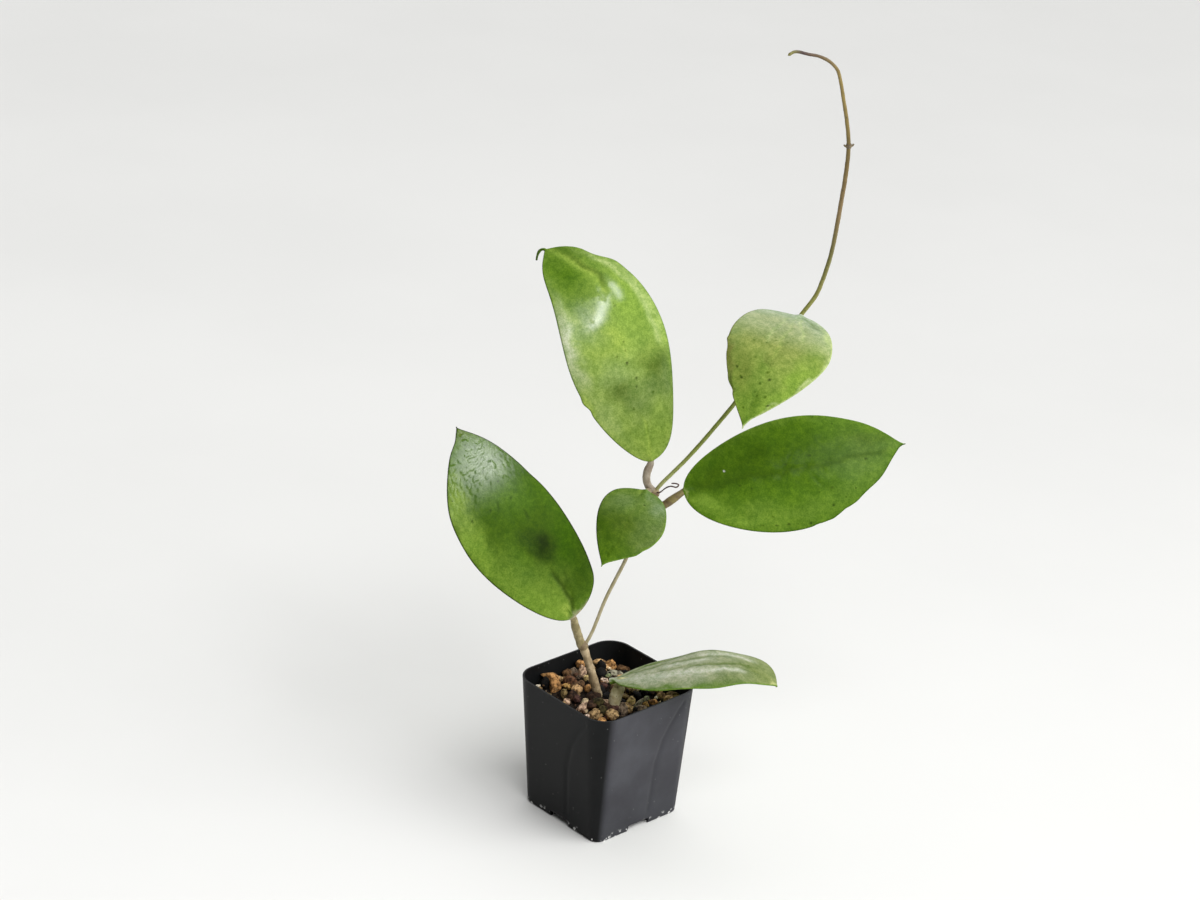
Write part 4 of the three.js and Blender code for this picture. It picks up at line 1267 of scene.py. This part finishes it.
            (0.83, -0.5, 0.08, 0.35, "moss green", 0.6), (0.84, 0.45, 0.08, 0.35, "mid green", 0.5),
            (0.5, -0.97, 0.4, 0.1, "mid green", 0.5), (0.37, -0.5, 0.07, 0.2, "deep green", 0.6),
            (0.12, -0.26, 0.09, 0.25, "deep green", 0.6), (0.46, 0.45, 0.06, 0.2, "grass green", 0.5),
            (0.0, 0.0, 0.006, 2.0, "straw", 0.3),
        ),
        "specks": (
            (0.19, -0.33, 0.6, "white"), (0.634, 0.78, 0.9, "bottle"), (0.645, 0.47, 0.7, "bottle"),
            (0.583, -0.22, 0.9, "bottle"), (0.376, 0.87, 0.7, "bottle"), (0.427, 0.87, 0.9, "bottle"),
            (0.521, 0.93, 0.9, "bottle"), (0.366, 0.71, 0.7, "deep green"), (0.469, -0.15, 0.8, "bottle"),
            (0.819, 0.15, 0.8, "bottle"), (0.694, 0.78, 0.6, "deep green"),
            (0.552, 0.22, 0.7, "deep green"), (0.25, 0.07, 0.7, "bottle"), (0.316, 0.87, 0.8, "deep green"),
            (0.3, 0.16, 0.7, "bottle"),
        ),
    },
    "leaf_small": {
        "midrib": ((15, -3.2, 198.4), (8.5, -19.5, 192.5), (4, -36, 189.5), (-7.2, -46.2, 173.2)),
        "facing": ((-3, 77), (-13, 48)),
        "left": (17.4, (0.18, -0.09, 0.06), 3),
        "right": (18.6, (0.28, 0.04, 0.04), 1),
        "ripple": (0.4, 2.4),
        "tip": 0.045,
        "bumps": (("left", 0.78, 0.03, 0.5), ("left", 0.7, 0.03, -0.4), ("right", 0.05, 0.05, 0.7)),
        "swells": ((0.5, -0.4, 0.12, 0.3, 0.4), (0.3, 0.4, 0.12, 0.3, 0.4)),
        "quilt": ((0.5, 0.0, 0.6, 2.0, 0.06),),
        "creases": ((((0.02, 0.12), (0.2, 0.1), (0.6, 0.05), (0.95, 0.02)), 0.9, 0.2, "deep green", 0.15),),
        "gloss": ((0.2, -0.6, 0.2, 0.4, 0.02),),
        "tones": ("mid green", "moss green", "grass green"),
        "edges": ("mid green", "ink"),
        "under": "grey green",
        "blots": (
            (0.05, 0.15, 0.04, 0.16, "yellow green", 0.7), (0.6, 0.75, 0.16, 0.3, "deep green", 0.9),
            (0.72, 0.45, 0.08, 0.25, "deep green", 0.6), (0.45, 0.5, 0.06, 0.2, "deep green", 0.4),
            (0.86, 0.2, 0.08, 0.5, "deep green", 0.6), (0.3, 0.2, 0.1, 0.5, "mid green", 0.3),
            (0.5, -0.05, 0.05, 0.15, "deep green", 0.5), (0.62, -0.55, 0.12, 0.35, "moss green", 0.8),
            # The silver green blots near the base are painted sheen, partly the waxy bloom.
            (0.33, -0.9, 0.2, 0.14, "sage", 0.15), (0.2, 0.4, 0.14, 0.5, "silver green", 0.15),
            (0.16, -0.7, 0.12, 0.35, "silver green", 0.5), (0.45, -0.6, 0.2, 0.4, "grey green", 0.4),
            (0.6, -0.9, 0.15, 0.14, "sage", 0.12), (0.62, 0.97, 0.25, 0.06, "ink", 0.5),
        ),
        "specks": (
            (0.2, -0.2, 0.7, "bottle"), (0.4, 0.55, 0.9, "deep green"), (0.47, 0.02, 0.7, "deep green"),
            (0.37, -0.5, 0.6, "deep green"),
        ),
    },
    "leaf_high": {
        "midrib": ((91.5, 13, 297.5), (82, -21, 306), (73.5, -47.5, 300), (61.2, -61, 263.6)),
        "facing": ((16, 78), (-13, 48)),
        "left": (25, (0.14, -0.1, 0.04), 3.5),
        "right": (26, (0.19, -0.01, 0.04), 0.5),
        "ripple": (0.6, 2.2),
        "tip": 0.045,
        "bumps": (
            ("right", 0.845, 0.018, -0.9), ("right", 0.8, 0.02, 0.4), ("right", 0.6, 0.03, -0.4),
            ("right", 0.54, 0.02, 0.5), ("right", 0.07, 0.05, 1.2), ("left", 0.95, 0.025, -0.7),
        ),
        "swells": ((0.12, -0.6, 0.06, 0.2, -0.5), (0.5, -0.5, 0.15, 0.4, 0.5), (0.6, 0.5, 0.15, 0.3, 0.5)),
        "quilt": ((0.5, 0.0, 0.6, 2.0, 0.05),),
        "creases": (
            (((0.02, 0.0), (0.3, -0.05), (0.6, -0.04), (0.95, 0.02)), 1.2, 0.2, "apple", 0.2),
            (((0.04, -0.3), (0.1, -0.5), (0.18, -0.68)), 2.4, 0.4, "moss green", 0.3),
            (((0.1, 0.15), (0.3, 0.2), (0.5, 0.25)), 1.0, 0.1, "pale green", 0.4),
            (((0.08, -0.1), (0.25, -0.3), (0.4, -0.4)), 1.0, 0.1, "pale green", 0.5),
        ),
        "gloss": ((0.25, 0.1, 0.2, 1.0, 0.2),),
        # The silver green at the base is partly the waxy bloom and partly painted sheen where the blade
        # faces up.
        "tones": ("silver green", "pale olive", "bright green"),
        "edges": ("pale green", "brown green"),
        "under": "pale green",
        "blots": (
            # The hay green blots near the base are partly the leaf's own paler green and partly painted
            # sheen there.
            (0.2, 0.45, 0.1, 0.5, "hay green", 0.6), (0.28, -0.1, 0.07, 0.35, "hay green", 0.5),
            (0.115, -0.55, 0.035, 0.2, "grey green", 0.85), (0.22, -0.87, 0.12, 0.12, "pale green", 0.8),
            (0.64, 0.94, 0.13, 0.1, "brown green", 0.9), (0.8, 0.93, 0.06, 0.09, "ink", 0.7),
            (0.61, -0.07, 0.04, 0.1, "brown green", 0.5), (0.87, -0.05, 0.08, 0.6, "grass green", 0.6),
            (0.68, 0.05, 0.08, 0.3, "mid green", 0.6), (0.7, -0.75, 0.2, 0.25, "bright green", 0.8),
            (0.47, -0.75, 0.08, 0.2, "mid green", 0.5), (0.47, 0.88, 0.08, 0.2, "grey green", 0.7),
            (0.72, 0.6, 0.12, 0.25, "olive", 0.7), (0.97, 0.2, 0.03, 0.9, "mid green", 0.7),
            (0.62, -0.98, 0.3, 0.05, "pale green", 0.9),
        ),
        "specks": (
            (0.49, 0.22, 0.9, "moss green"), (0.417, 0.11, 0.7, "moss green"),
            (0.448, 0.07, 0.9, "moss green"), (0.713, 0.71, 1.0, "bottle"), (0.768, 0.56, 1.0, "bottle"),
            (0.76, 0.6, 0.7, "deep green"), (0.694, -0.07, 1.1, "deep green"),
            (0.732, -0.19, 1.1, "bottle"), (0.768, 0.0, 1.0, "deep green"),
            (0.827, -0.37, 1.0, "deep green"), (0.864, -0.73, 0.9, "bottle"),
            (0.722, -0.53, 0.7, "mid green"), (0.624, 0.33, 0.9, "moss green"),
            (0.835, -0.07, 0.7, "deep green"), (0.437, -0.15, 0.8, "moss green"),
            (0.911, 0.43, 0.7, "deep green"), (0.5, 0.47, 0.8, "moss green"),
            (0.82, 0.05, 0.7, "deep green"),
        ),
    },
    "leaf_basal": {
        "midrib": ((1.2, -12, 86.4), (29.5, -23, 97.5), (66.5, -17, 115), (92.5, -24, 94.5)),
        "facing": ((4, 88), (5, 86)),
        "left": (19, (-0.12, 0.08, -0.06), 2),
        "right": (18, (-0.01, -0.14, 0), 2),
        "ripple": (0.8, 2.5),
        "tip": 0.03,
        "bumps": (("left", 0.03, 0.035, -2), ("right", 0.03, 0.035, -1.8), ("left", 0.2, 0.2, -1.6)),
        "swells": (),
        "quilt": ((0.5, 0.0, 0.6, 2.0, 0.05),),
        "creases": (
            (((0.02, 0.05), (0.3, 0.04), (0.6, -0.04), (0.9, 0.0)), 1.1, 0.3, "moss green", 0.12),
            (((0.03, -0.25), (0.1, -0.33), (0.22, -0.45), (0.35, -0.5)), 1.3, 0.3, "moss green", 0.65),
            (((0.08, -0.6), (0.27, -0.78), (0.42, -0.82)), 1.3, 0.3, "moss green", 0.65),
            (((0.33, -0.35), (0.5, -0.5), (0.7, -0.55)), 1.2, 0.25, "moss green", 0.6),
            (((0.42, 0.1), (0.55, -0.02), (0.72, -0.12), (0.85, -0.15)), 1.3, 0.3, "moss green", 0.65),
            (((0.25, 0.1), (0.4, -0.02), (0.55, -0.25)), 0.9, 0.15, "moss green", 0.5),
            (((0.6, 0.2), (0.75, 0.08), (0.88, 0.05)), 0.9, 0.15, "moss green", 0.5),
            # The silver sage creases are partly the waxy bloom and partly painted reflection of the bright
            # surround.
            (((0.25, 0.3), (0.5, 0.28), (0.8, 0.2)), 1.8, 0.15, "silver sage", 1.0),
            (((0.5, -0.7), (0.65, -0.72), (0.85, -0.6)), 1.6, 0.15, "silver sage", 0.8),
            (((0.3, -0.2), (0.45, -0.28), (0.6, -0.32)), 1.6, 0.1, "silver sage", 0.8),
        ),
        "gloss": ((0.4, 0.0, 0.4, 1.0, 0.14),),
        # The sage tones are partly the leaf's own colour and partly painted reflection of the bright
        # surround.
        "tones": ("sage", "sage", "dull olive"),
        "edges": ("moss green", "mid green"),
        "under": "apple",
        "blots": (
            # The silver sage blots are partly the waxy bloom and partly painted reflection of the bright
            # surround.
            (0.14, 0.3, 0.16, 0.4, "silver sage", 0.8), (0.42, 0.25, 0.18, 0.3, "silver sage", 0.6),
            (0.65, -0.7, 0.2, 0.2, "silver sage", 0.4), (0.45, 0.95, 0.4, 0.14, "grass green", 0.9),
            (0.68, 0.7, 0.1, 0.3, "moss green", 0.5), (0.87, -0.15, 0.07, 0.7, "dull olive", 0.6),
            (0.0, 0.0, 0.025, 2.0, "silver sage", 0.9), (0.99, 0.3, 0.03, 0.9, "straw", 0.8),
            (0.35, -0.93, 0.3, 0.12, "moss green", 0.8),
        ),
        "specks": ((0.8, -0.2, 0.9, "moss green"), (0.85, 0.2, 0.7, "moss green")),
    },
}


def direction(aside, above):
    """The direction at an angle round from -y and an angle above the horizon, in degrees."""
    a, b = math.radians(aside), math.radians(above)
    return np.array([math.sin(a) * math.cos(b), -math.cos(a) * math.cos(b), math.sin(b)])


def bezier(controls, t):
    """The curve of three or four control points: each weighed by its binomial share of t."""
    p = np.array(controls, float)
    n = len(p) - 1
    t = np.asarray(t)[:, None]
    return sum(math.comb(n, k) * t**k * (1 - t) ** (n - k) * p[k] for k in range(n + 1))


def bells(spots, t, v):
    """The sum of bell curves over a blade, for spots of share along, share across, both spreads and
    height."""
    total = np.zeros(np.broadcast(t, v).shape)
    for at, aside, long, wide, high in spots:
        total += high * np.exp(-(((t - at) / long) ** 2) - ((v - aside) / wide) ** 2)
    return total


def half_width(leaf, side, u, t):
    """A side's half width: a sum of sines of u, with a bell curve at each bump, drawn in to a point
    over the last stretch of t."""
    half, sines, _ = leaf[side]
    total = np.sin(math.pi * u)
    for k, size in enumerate(sines):
        total = total + size * np.sin((k + 2) * math.pi * u)
    total = half * np.maximum(0, total)
    for where, at, spread, out in leaf["bumps"]:
        if where == side:
            total = total + out * bell((t - at) / spread)
    return total * (1 - np.exp((t - 1) / leaf["tip"]))


def blade_surface(leaf):
    """The middle surface of a blade as a grid of rows from base to tip and places v from the left
    margin, -1, to the right, 1. A row's centre is on the midrib, and its points lie across it by the
    half width times v, lifted by the swells and by the margin's ripple, which grows with the cube of v,
    and lowered by the droop, which grows with the square. A hook past the tip carries the last row on.
    Also gives the share along, the place v, the distance from the midrib and the half width there."""
    u = np.linspace(0, 1, LEAF_ROWS + 1)
    t = (1 - np.cos(math.pi * u)) / 2
    centre = bezier(leaf["midrib"], t)
    along = unit(np.gradient(centre, t, axis=0, edge_order=2))
    at_base, at_tip = (direction(*angles) for angles in leaf["facing"])
    up = blend(at_base, at_tip, t[:, None])
    up = unit(up - along * (up * along).sum(-1, keepdims=True))
    across = np.cross(along, up)
    v = -np.cos(np.linspace(0, math.pi, LEAF_CELLS + 1))[None, :]
    least = np.where(t < 0.5, BASE_HALF, HOOK_HALF if "hook" in leaf else TIP_HALF)
    left, right = (np.maximum(half_width(leaf, side, u, t), least) for side in ("left", "right"))
    width = np.where(v < 0, left[:, None], right[:, None])
    droops = np.where(v < 0, leaf["left"][2], leaf["right"][2])
    widest = max(leaf["left"][0], leaf["right"][0])
    reach = width * v
    height, count = leaf["ripple"]
    ripple = np.sin(2 * math.pi * count * t[:, None] + np.sign(v)) * np.sin(math.pi * t[:, None])
    lift = height * ripple * np.abs(v) ** 3 - droops * (reach / widest) ** 2
    lift += bells(leaf["swells"], t[:, None], v)
    rows = centre[:, None] + across[:, None] * reach[..., None] + up[:, None] * lift[..., None]
    if "hook" in leaf:
        s = np.linspace(0, 1, HOOK_ROWS + 1)[1:]
        curl = bezier((leaf["midrib"][3], *leaf["hook"]), s)
        narrow = blend(HOOK_HALF, TIP_HALF, s)[:, None] * v
        rows = np.concatenate([rows, curl[:, None] + across[-1] * narrow[..., None]])
        reach = np.concatenate([reach, narrow])
        width = np.concatenate([width, np.repeat(np.abs(narrow[:, :1]), LEAF_CELLS + 1, 1)])
        t = np.concatenate([t, np.ones(HOOK_ROWS)])
    return rows, t[:, None], np.broadcast_to(v, reach.shape), reach, width


def crease_masks(creases, t, v, width):
    """For each crease of a blade, how near each point lies to it, with its depth, tone and strength:
    a bell curve of the distance across, which fades in and out over the ends of its path. Two sines
    make the path wander a little."""
    (far, often), (less, more) = CREASE_WANDER
    masks = []
    for path, wide, deep, tone, strength in creases:
        stops = np.array(path)
        bend = far * np.sin(2 * math.pi * (often * t + stops[0, 1]))
        bend = bend + less * np.sin(2 * math.pi * more * t)
        away = (v - np.interp(t, stops[:, 0], stops[:, 1])) * width + bend
        start, end = stops[0, 0], stops[-1, 0]
        ends = eased(start - 0.01, start + 0.03, t) * (1 - eased(end - 0.06, end + 0.02, t))
        masks.append((bell(away / wide) * ends, deep, tone, strength))
    return masks


def leaf_mesh(name, leaf, seed):
    """A blade: both faces lie off its middle surface, along its normal, by half its thickness, which
    thins towards the margin and is rounded in over it. The upper face has its creases, puckers and a
    slight unevenness, and the lower one a ridge. Near the base both swell to the stalk's thickness. Its
    points carry its colours and, as a second colour, its gloss."""
    rows, t, v, reach, width = blade_surface(leaf)
    normal = unit(np.cross(np.gradient(rows, axis=1), np.gradient(rows, axis=0)))
    inward = np.clip(width * (1 - np.abs(v)) / (0.6 * LEAF_MARGIN), 0, 1)
    rounded = np.sqrt(1 - (1 - inward) ** 2)
    thick = blend(LEAF_MIDDLE, LEAF_MARGIN, np.abs(v)) / 2
    length = np.linalg.norm(np.diff(rows[:, LEAF_CELLS // 2], axis=0), axis=1).sum()
    creases = crease_masks(leaf["creases"], t, v, width)
    ridge = RIDGE_DEEP * bell(reach / RIDGE_WIDE) * (1 - eased(0.55, 0.98, t))
    more, long, wide = STALK_SWELL
    swell = more * bell(t * length / long) * bell(reach / wide)
    if "hook" in leaf:
        swell = swell + HOOK_SWELL * eased(0.985, 1.0, t)
    pucker = np.minimum(np.abs(waves(rows, QUILT_LENGTH, SEED + seed, 2)), 0.8) - 0.4
    uneven = 0.1 * waves(rows, SKIN_LENGTH, SEED + seed) + bells(leaf["quilt"], t, v) * pucker
    for near, deep, _, _ in creases:
        uneven = uneven - deep * near
    top = (thick + swell) * rounded + uneven * inward
    under = (thick + swell + ridge) * rounded
    upper = rows + normal * top[..., None]
    lower = rows - normal * under[..., None]
    mesh = skin_mesh(name, np.concatenate([upper, lower[:, -2:0:-1]], 1), from_plant)
    tint = leaf_tint(leaf, rows, t, v, width, length, creases, seed)
    face = blade_edge(tint, leaf, t, v, width)
    back = blade_edge(np.broadcast_to(LEAF_TONES[leaf["under"]], face.shape), leaf, t, v, width)
    gloss = bells(leaf["gloss"], t, v)
    for near, _, _, strength in crease_masks(leaf.get("streaks", ()), t, v, width):
        gloss = gloss + near * strength
    gloss = np.clip(gloss, 0, 1)[..., None] * np.ones(3)
    for layer, front, behind in (("tint", face, back), ("gloss", gloss, 0 * gloss)):
        values = np.concatenate([front, behind[:, -2:0:-1]], 1).reshape(-1, 3)
        add_colours(mesh, layer, np.concatenate([values, values[:1], values[-1:]]))
    return mesh


def leaf_tint(leaf, rows, t, v, width, length, creases, seed):
    """The upper face's colour: from base to middle to tip, then each blot mixed in by a bell curve of a
    place that waves have shifted a little, then the creases, and each speck as a soft disc. Some blots
    and creases are painted sheen, highlight or shade, as the leaves' table says."""
    share = np.broadcast_to(t, v.shape)[..., None]
    tint = through(*(LEAF_TONES[name] for name in leaf["tones"]), share)
    t_moved = t + BLOT_WANDER * waves(rows, SKIN_LENGTH, SEED + seed + 10, 4) / length
    v_moved = v + BLOT_WANDER * waves(rows, SKIN_LENGTH, SEED + seed + 20, 4) / np.maximum(width, 6)
    for *place, tone, strength in leaf["blots"]:
        mask = bells(((*place, strength),), t_moved, v_moved)
        tint = blend(tint, LEAF_TONES[tone], mask[..., None])
    for near, _, tone, strength in creases:
        tint = blend(tint, LEAF_TONES[tone], near[..., None] * strength)
    for at, aside, radius, tone in leaf["specks"]:
        away = np.hypot((t - at) * length, (v - aside) * width)
        mask = SPECK_STRONG * (1 - eased(0.3 * radius, 1.2 * radius, away))
        tint = blend(tint, LEAF_TONES[tone], mask[..., None])
    return tint


def blade_edge(tint, leaf, t, v, width):
    """A tint that goes over to the margins' colours within the last millimetre, except at the base."""
    near = (1 - eased(0.1, 1.1, width * (1 - np.abs(v)))) * eased(0.0, 0.03, t)
    left, right = (LEAF_TONES[name] for name in leaf["edges"])
    edge = np.where(v[..., None] < 0, left, right)
    return blend(tint, edge, near[..., None] * EDGE_STRONG)


def leaves():
    """The six blades, each in its own finish, which its look gives: the tone of its specks, how rough
    its dull skin is and its glossy skin, and the share of its cells that have a speck."""
    looks = {
        "leaf_left": ("bottle", 0.5, 0.24, 0.06),
        "leaf_upper": ("moss green", 0.5, 0.22, 0.1),
        "leaf_right": ("bottle", 0.52, 0.3, 0.12),
        "leaf_small": ("bottle", 0.52, 0.34, 0.06),
        "leaf_high": ("olive", 0.52, 0.34, 0.12),
        "leaf_basal": ("moss green", 0.42, 0.32, 0.08),
    }
    for k, (name, leaf) in enumerate(LEAVES.items()):
        speck, dull, glossy, share = looks[name]
        material = leaf_finish(name + "_wax", LEAF_TONES[speck], dull, glossy, share)
        make_piece(name, leaf_mesh(name, leaf, 60 + k), material, name)


# ---------------------------------------------------------------- camera, light and floor

PLANT_MIDDLE = (0, 0, 180.0)
FLOOR_REACH = 9000
FLOOR_DEEP = 10
# Where the bright side of the surround and the two lights are, in degrees round from -y and above the
# horizon, and how far off the lights are, in metres.
BRIGHT_SIDE = (145, 10)
WINDOW_SIDE = (25, 45)
DAYLIGHT_SIDE = (72, 42)
LIGHT_FAR = 1.8
WINDOW_POWER = 19
DAYLIGHT_POWER = 1.6


def stand(thing, x_axis, y_axis, z_axis, place):
    """Puts a camera or a light at a place of the part's frame, turned to its three axes."""
    matrix = np.eye(4)
    matrix[:3] = np.stack([x_axis, y_axis, z_axis, place], 1)
    thing.matrix_world = Matrix(matrix.tolist())


def camera():
    """The photograph's camera, placed from its target, distance, tilt and roll."""
    right, up, forward = (turned(axis, PLANT_TURN) for axis in camera_axes())
    eye = from_plant(CAMERA_TARGET - CAMERA_DISTANCE * camera_axes()[2])
    c, s = math.cos(CAMERA_ROLL), math.sin(CAMERA_ROLL)
    data = bpy.data.cameras.new("camera")
    data.lens = LENS
    data.sensor_width = SENSOR
    data.clip_start = 0.01
    data.clip_end = 100
    made = placed("camera", data)
    stand(made, c * right + s * up, c * up - s * right, -forward, eye)
    bpy.context.scene.camera = made


def light(name, kind, side, power, **settings):
    """A light out from the plant's middle on a side of the plant's frame, turned towards it."""
    data = bpy.data.lights.new(name, kind)
    data.energy = power
    for key, value in settings.items():
        setattr(data, key, value)
    way = turned(direction(*side), PLANT_TURN)
    across = unit(np.cross((0, 0, 1), way))
    place = from_plant(PLANT_MIDDLE) + way * LIGHT_FAR
    stand(placed(name, data), across, np.cross(way, across), way, place)


def surround():
    """The surround: pale behind the plant and to its right, as near walls are, and dim at the camera's
    side, by the cosine of the angle to the bright side."""
    world = bpy.data.worlds.new("surround")
    world.use_nodes = True
    f = Finish("surround", world.node_tree)
    back = tuple(turned(direction(*BRIGHT_SIDE), PLANT_TURN))
    away = f.dot(f.node("TexCoord").outputs["Generated"], back)
    sky = world.node_tree.nodes["Background"]
    sky.inputs["Color"].default_value = (1, 1, 1, 1)
    f.give(sky.inputs["Strength"], f.ranged(away, -0.4, 0.5, 0.1, 1.0, "SMOOTHSTEP"))
    bpy.context.scene.world = world


def studio():
    """A pale floor that fills the view, the surround, the soft light of a window at the front right and
    above, and very soft daylight from the right."""
    f = Finish("pale_floor")
    cloud = f.cloud(scale=3.0, low=0.3, high=0.7)
    colour = f.mixed(cloud, linear(225, 225, 223), linear(228, 228, 226))
    f.shade(Base_Color=colour, Roughness=0.8, Specular_IOR_Level=0.1)
    floor = prism("floor", circle(64, FLOOR_REACH), -FLOOR_DEEP, 0)
    floor.data.materials.append(f.material)
    floor.data.shade_flat()
    surround()
    light("window", "AREA", WINDOW_SIDE, WINDOW_POWER, shape="RECTANGLE", size=1.1, size_y=0.95)
    light("daylight", "SUN", DAYLIGHT_SIDE, DAYLIGHT_POWER, angle=math.radians(45))
    bpy.context.scene.view_settings.view_transform = "Standard"


camera()
studio()
pot_piece(pot_plastic())
grain_skin = mix_finish("grain_skin", 0.9, 0.8)
mix_bed(mix_finish("bed_skin", 0.8, 0.95))
lattice_grains(grain_skin, seen_grains(grain_skin))
crumbs(grain_skin)
stems()
leaves()
